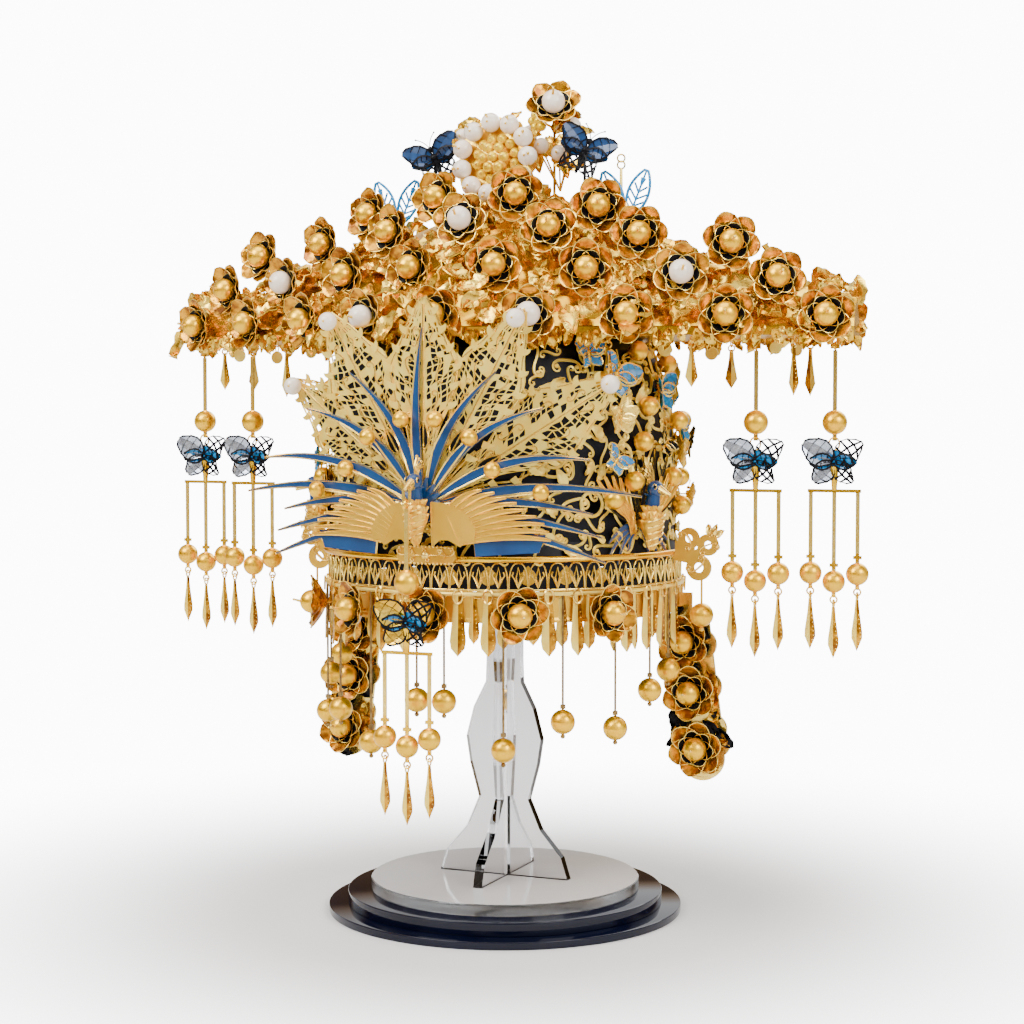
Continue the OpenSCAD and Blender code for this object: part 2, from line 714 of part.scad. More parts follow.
module fan_plate(f) {
    start = fan_start(f);
    length = fan_len * f[FAN_SHARE] - start;
    right = [for (i = [0:fan_steps]) [fan_half(i / fan_steps), start + length * i / fan_steps]];
    left = [for (i = [fan_steps:-1:0]) [-right[i][0], right[i][1]]];
    color(gilt) swept(f[FAN_SIDE], f[FAN_SWEEP]) upright(fan_layer(f), plate_t) rotate(-f[FAN_TURN])
        difference() {
            polygon(concat(right, left));
            for (hole = FAN_HOLES, side = [-1, 1])
                translate([side * hole[HOLE_OUT] * fan_half(hole[HOLE_ALONG]),
                    start + length * hole[HOLE_ALONG]]) rotate(side * 30)
                    scale([0.7, 1]) circle(d = hole[HOLE_WIDE] * fan_w);
            translate([0, start + length * tip_hole_up]) circle(d = fan_w * tip_hole_d);
        }
}

// Pearls before the tips of four of the plates
module fan_pearls() {
    color("ivory") for (f = FAN) if (f[FAN_TURN] > 0) {
        layer = fan_layer(f) + plate_t + gap + fan_pearl_d / 2;
        spot = polar(f[FAN_TURN], fan_len * f[FAN_SHARE] * 0.96);
        swept(f[FAN_SIDE], f[FAN_SWEEP])
            translate([spot[0], -layer, root_z + spot[1]]) sphere(d = fan_pearl_d);
    }
}

// Blue blades: degrees from upright, share of the longest blade, bend as a share of its length
BLADE_TURN = 0;
BLADE_LEN = 1;
BLADE_BEND = 2;
CENTRE_BLADES = [[0, 0.8, 0.04], [31, 0.7, 0.1], [-31, 0.7, -0.1], [53, 0.73, 0.12], [-53, 0.73, -0.12],
    [75, 0.83, 0.1], [-75, 0.83, -0.1]];
SIDE_BLADES = [[87, 1, 0.06], [92, 0.78, 0.05], [99, 0.83, 0.03], [106, 0.87, 0.02]];
// Bead stalks: degrees from upright, share of the longest blade
CENTRE_STALKS = [[-12, 0.4], [12, 0.4], [-39, 0.4], [39, 0.4], [-65, 0.4], [65, 0.4]];
SIDE_STALKS = [[83, 0.56]];
stalk_w = 1.4;
pad_d = 4;
// The blue plate below the wing, in shares of the longest blade
TAIL_QUAD = [[0.24, -0.13], [0.57, -0.12], [0.54, -0.2], [0.25, -0.22]];

function polar(turn, reach) = [sin(turn), cos(turn)] * reach;
function blade(b) = let(reach = blade_len * b[BLADE_LEN], tip = polar(b[BLADE_TURN], reach),
    bow = polar(b[BLADE_TURN] - 90, reach * b[BLADE_BEND] * 2))
    horn(polar(b[BLADE_TURN], hub_r), tip / 2 + bow, tip, blade_w, 0.6);

module stalks(rows) {
    for (s = rows) {
        rotate(-s[0]) translate([-stalk_w / 2, hub_r]) square([stalk_w, blade_len * s[1] - hub_r]);
        translate(polar(s[0], blade_len * s[1])) circle(d = pad_d);
    }
}

module phoenix_blades() {
    color(enamel) {
        upright(blade_layer, blade_t) {
            circle(r = boss_r);
            for (b = CENTRE_BLADES) polygon(blade(b));
            stalks(CENTRE_STALKS);
        }
        for (side = [-1, 1]) swept(side) upright(blade_layer, blade_t) {
            for (b = SIDE_BLADES) polygon(blade(b));
            stalks(SIDE_STALKS);
            polygon(blade_len * TAIL_QUAD);
        }
    }
}

module stalk_beads(rows) {
    for (s = rows) {
        spot = polar(s[0], blade_len * s[1]);
        translate([spot[0], -blade_layer - blade_t - gap - stalk_bead_d / 2, root_z + spot[1]])
            sphere(d = stalk_bead_d);
    }
}

module phoenix_beads() {
    color(amber) {
        stalk_beads(CENTRE_STALKS);
        for (side = [-1, 1]) swept(side) stalk_beads(SIDE_STALKS);
    }
}

// Comb wings: all in shares of the wing's reach, across and up from the fan's root
FINGER_TIPS = [[0.47, 0.13], [0.57, 0.11], [0.66, 0.075], [0.74, 0.035], [0.82, -0.015], [0.89, -0.065],
    [0.95, -0.12], [0.985, -0.18], [1, -0.24]];
FIRST_START = [0.2, -0.05];
LAST_START = [0.3, -0.26];
FINGER_BOW = [-0.03, 0.06];
WING_PANEL = [[0.09, -0.3], [0.42, -0.3], [0.44, -0.16], [0.3, 0], [0.09, 0.04]];
finger_w = 3.5;
finger_tip_w = 1.2;

function finger(k) =
    let(from = FIRST_START + (LAST_START - FIRST_START) * k / (len(FINGER_TIPS) - 1), to = FINGER_TIPS[k])
    horn(from * wing_reach, ((from + to) / 2 + FINGER_BOW) * wing_reach, to * wing_reach,
        finger_w, finger_tip_w);

module wing(side) {
    color(gilt) swept(side) {
        upright(wing_layer, plate_t + gap) polygon(wing_reach * WING_PANEL);
        for (k = [0:len(FINGER_TIPS) - 1]) upright(wing_layer, plate_t) polygon(finger(k));
    }
}

// The breast's outline in shares of its radius and of its half height
BREAST = [[0, -1], [0.33, -0.83], [0.8, -0.33], [1, 0], [0.85, 0.33], [0.6, 0.75], [0, 1]];
breast_h = 12;
neck_up = 6;
neck_len = 11;
neck_r = 4;
head_up = 17;
head_d = 8;
beak_len = 8;
beak_dip = 22;
plume_t = 1;
plume_w = 2.4;
PLUMES = [[[4, 4], [7, 9]], [[1, 6], [0, 11]]];

// A bird with its breast at the origin, facing -Y: breast, neck, head, beak and crest
module bird() {
    rotate_extrude() polygon([for (p = BREAST) [p[0] * breast_r, p[1] * breast_h]]);
    translate([0, 0, neck_up]) rotate([8, 0, 0]) cylinder(r1 = neck_r, r2 = neck_r * 0.7, h = neck_len);
    translate([0, -head_d / 4, head_up]) sphere(d = head_d);
    translate([0, -head_d / 2, head_up]) rotate([90 + beak_dip, 0, 0])
        cylinder(r1 = neck_r * 0.65, r2 = neck_r * 0.2, h = beak_len);
    translate([-plume_t / 2, -head_d / 4, head_up + head_d / 4]) rotate([90, 0, 90]) linear_extrude(plume_t)
        for (plume = PLUMES) polygon(horn([0, 0], plume[0], plume[1], plume_w, plume_w / 3));
}

module phoenix_body() {
    bird_z = root_z - 5;
    color(enamel) {
        translate([0, -breast_y, bird_z]) bird();
        // The beak's end forks into the hook of the front pendant
        translate([-cheek_x - cheek_t, -hook_y - pin_d, beak_pin_z + pin_d + 2])
            cube([2 * (cheek_x + cheek_t), hook_y - breast_y, 3]);
        translate([0, -hook_y, beak_pin_z + 5]) hook(5);
    }
}

plaque_w = 22;
plaque_h = 8;
plaque_t = 2;
plaque_ear_d = 9;
stud_d = 4;

module phoenix_plaque() {
    back = rail_r + rail_wire / 2 + gap;
    color(gilt) translate([0, -back, cap_z + plaque_h / 4]) rotate([90, 0, 0]) {
        linear_extrude(plaque_t) {
            square([plaque_w, plaque_h], center = true);
            for (side = [-1, 1]) translate([side * plaque_w / 2, 0]) circle(d = plaque_ear_d);
        }
        linear_extrude(plaque_t * 1.5) for (k = [-1:1]) translate([k * plaque_h, 0]) circle(d = stud_d);
    }
}

// Side phoenixes on the cap above the rail, their wings raised
side_turn = 70;
bird_lift = 16;
bird_out = 4;
bird_stub = 5;
pinions = 5;
pinion_len = 33;
pinion_w = 4;
shoulder_w = 16;
shoulder_h = 10;

// A raised feather: its root on the shoulder, then bent outwards and up
function pinion(k) =
    let(root = [shoulder_w / 3, shoulder_h / 3 - shoulder_h * 0.2 * k], long = pinion_len * (1 - 0.06 * k))
    horn(root, root + polar(76 - 15 * k, long * 0.45), root + polar(56 - 11 * k, long),
        pinion_w, pinion_w / 3);

module side_phoenix(side) {
    z = cap_z + bird_lift;
    r = cap_radius(z) + gap;
    around(side * side_turn, r, z) {
        translate([-bird_stub / 2, -breast_r, -2]) cube([bird_stub, breast_r, bird_stub]);
        translate([0, -breast_r - bird_out, 0]) bird();
        translate([-shoulder_w / 2, -2 - plate_t, -shoulder_h / 2])
            cube([shoulder_w, plate_t + gap, shoulder_h]);
        for (turn = [0, 1], k = [0:pinions - 1]) mirror([turn, 0, 0])
            translate([0, -2, 0]) rotate([90, 0, 0]) linear_extrude(plate_t) polygon(pinion(k));
    }
}

module side_phoenixes() {
    color(gilt) for (side = [-1, 1]) side_phoenix(side);
}

// Cloud scrolls that stand out from the rail, each with a rod and a bead
scroll_y = -4;
scroll_reach = 25;
scroll_t = 1.5;
scroll_rod = 26;
// Lobes of a scroll: place and size in shares of its reach, and the size of the hole in it
LOBE_AT = 0;
LOBE_D = 1;
LOBE_HOLE = 2;
SCROLL_LOBES = [[[0.49, -0.29], 0.52, 0.2], [[0.68, 0.17], 0.44, 0.16], [[0.28, 0.29], 0.44, 0.16]];
SCROLL_STEM = [[0, 0], [0.4, -0.24], [0.64, 0.16]];
scroll_foot = 0.4;
scroll_rod_x = 0.55;
scroll_low = 0.48;

module side_scrolls() {
    color(gilt) for (side = [0, 1]) mirror([side, 0, 0]) {
        translate([scroll_start, scroll_y + scroll_t / 2, cap_z]) rotate([90, 0, 0]) linear_extrude(scroll_t)
            difference() {
                union() {
                    polygon(horn(SCROLL_STEM[0] * scroll_reach, SCROLL_STEM[1] * scroll_reach,
                        SCROLL_STEM[2] * scroll_reach, scroll_reach * 0.24, scroll_reach * 0.2));
                    translate([0, -scroll_foot * scroll_reach * 0.4])
                        square([scroll_foot, scroll_foot] * scroll_reach);
                    for (lobe = SCROLL_LOBES) translate(lobe[LOBE_AT] * scroll_reach)
                        circle(d = lobe[LOBE_D] * scroll_reach);
                }
                for (lobe = SCROLL_LOBES) translate(lobe[LOBE_AT] * scroll_reach)
                    circle(d = lobe[LOBE_HOLE] * scroll_reach);
            }
        translate([scroll_start + scroll_reach * scroll_rod_x, scroll_y, scroll_rod_z])
            cylinder(d = rod_d, h = scroll_rod);
        translate([scroll_start + scroll_reach * scroll_rod_x, scroll_y, scroll_rod_z]) sphere(d = 2 * rod_d);
    }
}

scroll_start = rail_r + rail_wire / 2 + gap;
scroll_rod_z = cap_z - scroll_low * scroll_reach - scroll_rod;

module scroll_beads() {
    color(amber) for (side = [-1, 1])
        translate([side * (scroll_start + scroll_reach * scroll_rod_x), scroll_y,
            scroll_rod_z + rod_d * 0.9 + bead_d / 2]) drilled_bead(bead_d, rod_d + gap);
}

// Temple plates: long plates with a cloud-shaped end, each held by a lug that stands up beside the band
lappet_y = 20;
lappet_top = band_z - 1 - gap;
lappet_out = 3.2;
lug_w = 8;
lug_h = 16;
lug_low = 6;

module lappet_shape() {
    w = lappet_w;
    translate([-w * 0.42, -lappet_len + w * 0.5]) square([w * 0.84, lappet_len - w * 0.5]);
    for (x = [-0.28, 0.28]) translate([x * w, -lappet_len + w * 0.62]) circle(d = w * 0.5);
    translate([0, -lappet_len + w * 0.4]) circle(d = w * 0.8);
    for (x = [-0.24, 0.24], up = [0.2, 0.45, 0.7]) translate([x * w, -lappet_len * up]) circle(d = w * 0.52);
}

lappet_x = sqrt(pow(band_r, 2) - pow(lappet_y, 2)) + lappet_out;

// The frame of a temple plate: its top middle, leaning outwards, with its face towards the front
module at_lappet(side) {
    mirror([side < 0 ? 1 : 0, 0, 0]) translate([lappet_x, lappet_y, lappet_top]) rotate([0, -lappet_lean, 0])
        rotate([90, 0, 0]) children();
}

module lappet(side) {
    color(gilt) {
        at_lappet(side) linear_extrude(lappet_t) lappet_shape();
        at_lappet(side) translate([0, 0, lappet_t - 0.1]) linear_extrude(0.7) difference() {
            lappet_shape();
            translate([0, -lappet_len * 0.03]) scale([0.84, 0.95]) lappet_shape();
        }
        mirror([side < 0 ? 1 : 0, 0, 0]) difference() {
            translate([lappet_x - lug_w / 2, lappet_y - lappet_t, lappet_top - lug_low])
                cube([lug_w, lappet_t, lug_h]);
            translate([0, 0, band_z - 1]) cylinder(r = band_r + gap, h = band_h + 2, $fn = 96);
        }
    }
}

LAPPET_FLOWERS = [0.17, 0.47, 0.8];

module on_lappets() {
    for (side = [-1, 1], up = LAPPET_FLOWERS)
        at_lappet(side) translate([0, -lappet_len * up, lappet_t + gap + stub_len]) children();
}

module lappet_flowers() {
    color(gilt) on_lappets() flower_cup();
}

module lappet_pearls() {
    color(amber) on_lappets() flower_bead();
}

// Pendants hang from the origin of their own frame, which is the middle of the hook's pin
crest_top = -upper_bar - bead_d / 2 - 2;
crest_low = crest_top - crest_plate_h;
bar_end = crest_low - lower_bar;
knob_d = 2;
link_r = 1.7;
link_wire = 0.9;
link_drop = 2 * link_r - link_wire - 0.2;

function bar_low(k) = bar_end - (k == 0 ? 4 : 0);
function lower_bead_z(k) = bar_low(k) + knob_d * 0.6 + lower_bead_d / 2;
function link_z(k) = bar_low(k) - link_r - link_wire / 2;

module ring(radius, wire) {
    rotate_extrude($fn = 24) translate([radius, 0]) circle(d = wire, $fn = 14);
}

// Wings of the butterfly plate: place and size in shares of its width and height
CREST_WINGS = [[0.3, -0.34, 0.4], [0.22, -0.68, 0.3]];
crest_body = 0.28;
crest_bar = 0.14;
crest_t = petal_t * 1.4;
bar_r = 0.7;
upper_bar_r = 0.8;
bar_foot = 1.5;

module crest_shape() {
    w = crest_plate_w;
    h = crest_plate_h;
    for (side = [-1, 1], wing = CREST_WINGS)
        translate([side * w * wing[0], h * wing[1]]) circle(d = w * wing[2]);
    translate([-w * crest_body / 2, -h]) square([w * crest_body, h]);
    translate([-bar_spread - bar_foot, -h]) square([2 * (bar_spread + bar_foot), h * crest_bar]);
}

module pendant_frame() {
    color(gilt) {
        rotate([0, 90, 0]) ring(eye_inner_r + eye_wire / 2, eye_wire);
        translate([0, 0, crest_top - 1])
            cylinder(r = upper_bar_r, h = -crest_top + 1 - eye_inner_r - eye_wire / 2);
        translate([0, crest_t / 2, crest_top]) rotate([90, 0, 0]) linear_extrude(crest_t) crest_shape();
        for (k = [-1:1]) translate([k * bar_spread, 0, bar_low(k)]) {
            cylinder(r = bar_r, h = crest_low - bar_low(k) + 1);
            sphere(d = knob_d);
            translate([0, 0, -link_r]) rotate([90, 0, 0]) ring(link_r, link_wire);
        }
    }
}

leaf_w = 6;
leaf_t = 1.2;
// Right side of a drop's leaf: share of its half width, share of its length downwards
DROP_LEAF = [[0.27, -0.01], [0.43, 0.24], [1, 0.72], [0.03, 1]];

module leaf_drop() {
    rotate([0, 90, 0]) ring(link_r, link_wire);
    right = [for (p = DROP_LEAF) [p[0] * leaf_w / 2, -p[1] * leaf_len]];
    left = [for (k = [len(right) - 1:-1:0]) [-right[k][0], right[k][1]]];
    translate([0, leaf_t / 2, -link_r]) rotate([90, 0, 0])
        linear_extrude(leaf_t) polygon(concat(right, left));
}

module pendant_drops() {
    color(amber) {
        translate([0, 0, -upper_bar]) drilled_bead(bead_d, 2 * upper_bar_r + gap);
        for (k = [-1:1]) translate([k * bar_spread, 0, lower_bead_z(k)])
            drilled_bead(lower_bead_d, 2 * bar_r + gap);
    }
    color(gilt) for (k = [-1:1]) translate([k * bar_spread, 0, bar_low(k) - link_r - link_drop]) leaf_drop();
}

function pendant_spot(p) =
    p == "front" ? [0, -hook_y, beak_pin_z] :
    let(x = (p == "outer_left" || p == "outer_right") ? outer_x : inner_x,
        side = (p == "outer_left" || p == "inner_left") ? -1 : 1)
    [side * x, hang_y(x), pin_z];

base_plate();
base_step();
clear_disc();
post_plate_side();
post_plate_front();
post_rest();
head_band();
lattice_band();
rail_ring();
band_fringe();
drop_beads();
band_flowers();
band_pearls();
cap_shell();
butterflies_blue();
butterflies_gold();
spray_beads();
roof_board();
roof_shell();
roof_flowers(true);  // roof_flowers_front
roof_flowers(false);  // roof_flowers_back
color(amber) roof_beads(false);  // roof_pearls
color("ivory") roof_beads(true);  // white_pearls
medallion();
medallion_pearls();
top_flower();
top_pearl();
top_butterflies();
leaf_sprigs();
phoenix_mount();
phoenix_body();
wing(-1);  // phoenix_wing_left
wing(1);  // phoenix_wing_right
phoenix_blades();
phoenix_beads();
phoenix_plaque();
fan_pearls();
for (k = [1:5]) fan_plate(FAN[k - 1]);
side_phoenixes();
side_scrolls();
scroll_beads();
for (k = [0, 1]) lappet(k == 0 ? -1 : 1);
lappet_flowers();
lappet_pearls();
for (p = PENDANTS) translate(pendant_spot(p)) pendant_frame();
for (p = PENDANTS) translate(pendant_spot(p)) pendant_drops();
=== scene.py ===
import json
import math
import random
import bpy
import bmesh
from mathutils import Matrix, Vector, noise
from mathutils.bvhtree import BVHTree


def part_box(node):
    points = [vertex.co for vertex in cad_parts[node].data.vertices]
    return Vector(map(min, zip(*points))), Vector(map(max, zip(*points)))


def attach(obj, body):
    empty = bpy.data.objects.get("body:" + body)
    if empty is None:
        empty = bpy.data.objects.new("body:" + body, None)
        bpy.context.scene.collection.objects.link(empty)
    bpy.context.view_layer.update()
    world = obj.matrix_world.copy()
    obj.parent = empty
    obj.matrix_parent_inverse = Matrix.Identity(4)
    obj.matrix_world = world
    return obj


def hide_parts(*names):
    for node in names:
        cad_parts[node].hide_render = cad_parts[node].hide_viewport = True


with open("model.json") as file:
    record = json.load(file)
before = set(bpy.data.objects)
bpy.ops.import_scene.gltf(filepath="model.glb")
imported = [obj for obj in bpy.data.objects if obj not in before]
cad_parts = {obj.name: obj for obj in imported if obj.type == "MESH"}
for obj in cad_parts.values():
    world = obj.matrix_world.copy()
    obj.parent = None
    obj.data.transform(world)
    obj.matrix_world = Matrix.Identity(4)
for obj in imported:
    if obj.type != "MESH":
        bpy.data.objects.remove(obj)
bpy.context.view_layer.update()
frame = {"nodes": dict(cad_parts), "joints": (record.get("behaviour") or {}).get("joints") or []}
nodes = frame["nodes"]
mm = 0.001
pendantNames = ["outer_left", "inner_left", "front", "inner_right", "outer_right"]
print("frame loaded")

# the photo's own view: where its camera stood and how its picture was framed
view = {
    "azimuth": 23,  # degrees from the crown's front
    "distance": 1.083,
    "height": 0.258,
    "focalPixels": 2083,
    "imageSize": 1024,
    "sensor": 36,
    "axisX": 505,  # column of the stand's axis in the picture
    "horizonY": 414,  # row of the eye level in the picture
}


def placeCamera():
    data = bpy.data.cameras.new("camera")
    data.sensor_width = view["sensor"]
    data.lens = view["focalPixels"] / view["imageSize"] * view["sensor"]
    camera = bpy.data.objects.new("camera", data)
    bpy.context.scene.collection.objects.link(camera)
    turn = math.radians(view["azimuth"])
    middle = view["imageSize"] / 2
    yaw = math.atan((middle - view["axisX"]) / view["focalPixels"])
    pitch = math.atan((middle - view["horizonY"]) / view["focalPixels"])
    reach = view["distance"]
    camera.location = (math.sin(turn) * reach, -math.cos(turn) * reach, view["height"])
    camera.rotation_euler = (math.pi / 2 - pitch, 0, turn - yaw)
    bpy.context.scene.camera = camera


# soft boxes: degrees from the front, degrees up, distance, size, watts
studio = {
    "target": (0, 0, 0.2),
    "boxes": [
        ("keyBox", -30, 40, 1.3, 0.7, 18),
        ("fillBox", 62, 28, 1.4, 0.6, 11),
        ("topBox", 10, 82, 1.2, 0.9, 12),
        ("backBox", 168, 38, 1.5, 0.8, 11),
    ],
    "paper": (1, 1, 1, 1),
    "paperStrength": 12,
    "bright": 1.35,  # the white panels that the metal mirrors
    "dark": 0.14,  # the warm brown cards between them
    "darkTint": (1, 0.56, 0.2, 1),
    "cardScale": 1.7,
    "floorGrey": 0.86,
    "floorFade": (0.12, 0.5),  # the shadow's paper turns to plain white between these radii
}


def addSoftBox(name, azimuth, elevation, distance, size, watts):
    data = bpy.data.lights.new(name, "AREA")
    data.size = size
    data.energy = watts
    box = bpy.data.objects.new(name, data)
    bpy.context.scene.collection.objects.link(box)
    turn, up = math.radians(azimuth), math.radians(elevation)
    way = Vector((math.sin(turn) * math.cos(up), -math.cos(turn) * math.cos(up), math.sin(up)))
    box.location = Vector(studio["target"]) + way * distance
    box.rotation_euler = way.to_track_quat("Z", "Y").to_euler()


def buildWorld():
    world = bpy.data.worlds.new("studio")
    bpy.context.scene.world = world
    world.use_nodes = True
    tree = world.node_tree
    tree.nodes.clear()
    new = tree.nodes.new
    out = new("ShaderNodeOutputWorld")
    paper = new("ShaderNodeBackground")
    paper.inputs["Color"].default_value = studio["paper"]
    paper.inputs["Strength"].default_value = studio["paperStrength"]
    cards = new("ShaderNodeBackground")
    rays = new("ShaderNodeLightPath")
    pick = new("ShaderNodeMixShader")
    place = new("ShaderNodeTexCoord")
    patches = new("ShaderNodeTexNoise")
    patches.inputs["Scale"].default_value = studio["cardScale"]
    patches.inputs["Detail"].default_value = 0
    edge = new("ShaderNodeMapRange")
    edge.inputs["From Min"].default_value = 0.44
    edge.inputs["From Max"].default_value = 0.56
    edge.inputs["To Min"].default_value = studio["dark"]
    edge.inputs["To Max"].default_value = studio["bright"]
    warmth = new("ShaderNodeMapRange")
    warmth.inputs["From Min"].default_value = 0.44
    warmth.inputs["From Max"].default_value = 0.56
    tint = new("ShaderNodeMix")
    tint.data_type = "RGBA"
    tint.inputs["A"].default_value = studio["darkTint"]
    tint.inputs["B"].default_value = studio["paper"]
    link = tree.links.new
    link(place.outputs["Generated"], patches.inputs["Vector"])
    link(patches.outputs["Fac"], edge.inputs["Value"])
    link(edge.outputs["Result"], cards.inputs["Strength"])
    link(patches.outputs["Fac"], warmth.inputs["Value"])
    link(warmth.outputs["Result"], tint.inputs["Factor"])
    link(tint.outputs["Result"], cards.inputs["Color"])
    link(rays.outputs["Is Camera Ray"], pick.inputs["Fac"])
    link(cards.outputs["Background"], pick.inputs[1])
    link(paper.outputs["Background"], pick.inputs[2])
    link(pick.outputs["Shader"], out.inputs["Surface"])


def layFloor():
    bm = bmesh.new()
    bmesh.ops.create_grid(bm, x_segments=2, y_segments=2, size=6)
    mesh = bpy.data.meshes.new("floor")
    bm.to_mesh(mesh)
    bm.free()
    material = bpy.data.materials.new("floorPaper")
    material.use_nodes = True
    tree = material.node_tree
    tree.nodes.clear()
    new, link = tree.nodes.new, tree.links.new
    out = new("ShaderNodeOutputMaterial")
    matt = new("ShaderNodeBsdfDiffuse")
    grey = studio["floorGrey"]
    matt.inputs["Color"].default_value = (grey, grey, grey, 1)
    glow = new("ShaderNodeEmission")
    glow.inputs["Color"].default_value = studio["paper"]
    glow.inputs["Strength"].default_value = studio["paperStrength"]
    blend = new("ShaderNodeMixShader")
    rays = new("ShaderNodeLightPath")
    seen = new("ShaderNodeMath")
    seen.operation = "MULTIPLY"
    place = new("ShaderNodeTexCoord")
    length = new("ShaderNodeVectorMath")
    length.operation = "LENGTH"
    fade = new("ShaderNodeMapRange")
    fade.interpolation_type = "SMOOTHSTEP"
    fade.inputs["From Min"].default_value = studio["floorFade"][0]
    fade.inputs["From Max"].default_value = studio["floorFade"][1]
    link(place.outputs["Object"], length.inputs[0])
    link(length.outputs["Value"], fade.inputs["Value"])
    link(fade.outputs["Result"], seen.inputs[0])
    link(rays.outputs["Is Camera Ray"], seen.inputs[1])
    link(seen.outputs["Value"], blend.inputs["Fac"])
    link(matt.outputs["BSDF"], blend.inputs[1])
    link(glow.outputs["Emission"], blend.inputs[2])
    link(blend.outputs["Shader"], out.inputs["Surface"])
    mesh.materials.append(material)
    floor = bpy.data.objects.new("floor", mesh)
    bpy.context.scene.collection.objects.link(floor)


placeCamera()
for softBox in studio["boxes"]:
    addSoftBox(*softBox)
buildWorld()
layFloor()
print("studio ready")


# finishes


def buildToneGroup():
    # two tones clouded into each other, with the gloss and the hand-worked dents that go with them
    group = bpy.data.node_groups.new("workedTone", "ShaderNodeTree")
    face = group.interface
    for name, kind, start in [
        ("Light", "NodeSocketColor", (1, 1, 1, 1)),
        ("Dark", "NodeSocketColor", (0, 0, 0, 1)),
        ("Scale", "NodeSocketFloat", 200),
        ("Spread", "NodeSocketFloat", 0.1),
        ("Smooth", "NodeSocketFloat", 0.1),
        ("Rough", "NodeSocketFloat", 0.3),
        ("Dent", "NodeSocketFloat", 0.1),
        ("Dent Scale", "NodeSocketFloat", 600),
    ]:
        face.new_socket(name=name, in_out="INPUT", socket_type=kind).default_value = start
    for name, kind in [("Color", "NodeSocketColor"), ("Roughness", "NodeSocketFloat"), ("Normal", "NodeSocketVector")]:
        face.new_socket(name=name, in_out="OUTPUT", socket_type=kind)
    new, link = group.nodes.new, group.links.new
    given, result = new("NodeGroupInput"), new("NodeGroupOutput")
    place = new("ShaderNodeTexCoord")
    clouds = new("ShaderNodeTexNoise")
    clouds.inputs["Detail"].default_value = 3
    low, high = new("ShaderNodeMath"), new("ShaderNodeMath")
    low.operation, high.operation = "SUBTRACT", "ADD"
    low.inputs[0].default_value = high.inputs[0].default_value = 0.5
    share = new("ShaderNodeMapRange")
    tone = new("ShaderNodeMix")
    tone.data_type = "RGBA"
    fine = new("ShaderNodeTexNoise")
    fine.inputs["Detail"].default_value = 2
    gloss = new("ShaderNodeMapRange")
    bump = new("ShaderNodeBump")
    bump.inputs["Distance"].default_value = 0.3 * mm
    link(place.outputs["Object"], clouds.inputs["Vector"])
    link(given.outputs["Scale"], clouds.inputs["Scale"])
    link(given.outputs["Spread"], low.inputs[1])
    link(given.outputs["Spread"], high.inputs[1])
    link(clouds.outputs["Fac"], share.inputs["Value"])
    link(low.outputs["Value"], share.inputs["From Min"])
    link(high.outputs["Value"], share.inputs["From Max"])
    link(share.outputs["Result"], tone.inputs["Factor"])
    link(given.outputs["Dark"], tone.inputs["A"])
    link(given.outputs["Light"], tone.inputs["B"])
    link(place.outputs["Object"], fine.inputs["Vector"])
    link(given.outputs["Dent Scale"], fine.inputs["Scale"])
    link(fine.outputs["Fac"], gloss.inputs["Value"])
    link(given.outputs["Smooth"], gloss.inputs["To Min"])
    link(given.outputs["Rough"], gloss.inputs["To Max"])
    link(fine.outputs["Fac"], bump.inputs["Height"])
    link(given.outputs["Dent"], bump.inputs["Strength"])
    link(tone.outputs["Result"], result.inputs["Color"])
    link(gloss.outputs["Result"], result.inputs["Roughness"])
    link(bump.outputs["Normal"], result.inputs["Normal"])
    return group


toneGroup = buildToneGroup()


def newMaterial(name):
    material = bpy.data.materials.new(name)
    material.use_nodes = True
    tree = material.node_tree
    tree.nodes.clear()
    out = tree.nodes.new("ShaderNodeOutputMaterial")
    shader = tree.nodes.new("ShaderNodeBsdfPrincipled")
    tree.links.new(shader.outputs["BSDF"], out.inputs["Surface"])
    return material, tree, shader


def workedFinish(name, light, dark, scale, spread, smooth, rough, dent, dentScale, metal=1.0, coat=0.0):
    material, tree, shader = newMaterial(name)
    tone = tree.nodes.new("ShaderNodeGroup")
    tone.node_tree = toneGroup
    tone.inputs["Light"].default_value = (*light, 1)
    tone.inputs["Dark"].default_value = (*dark, 1)
    values = {"Scale": scale, "Spread": spread, "Smooth": smooth, "Rough": rough, "Dent": dent, "Dent Scale": dentScale}
    for socket, value in values.items():
        tone.inputs[socket].default_value = value
    shader.inputs["Metallic"].default_value = metal
    shader.inputs["Coat Weight"].default_value = coat
    shader.inputs["Coat Roughness"].default_value = 0.05
    for output, socket in [("Color", "Base Color"), ("Roughness", "Roughness"), ("Normal", "Normal")]:
        tree.links.new(tone.outputs[output], shader.inputs[socket])
    return material


def clearFinish(name, tint, smooth, rough):
    material, tree, shader = newMaterial(name)
    tone = tree.nodes.new("ShaderNodeGroup")
    tone.node_tree = toneGroup
    tone.inputs["Smooth"].default_value = smooth
    tone.inputs["Rough"].default_value = rough
    tone.inputs["Dent"].default_value = rough * 0.3
    tone.inputs["Dent Scale"].default_value = 900
    shader.inputs["Base Color"].default_value = (*tint, 1)
    shader.inputs["Metallic"].default_value = 0
    shader.inputs["Transmission Weight"].default_value = 1
    shader.inputs["IOR"].default_value = 1.49
    tree.links.new(tone.outputs["Roughness"], shader.inputs["Roughness"])
    tree.links.new(tone.outputs["Normal"], shader.inputs["Normal"])
    return material


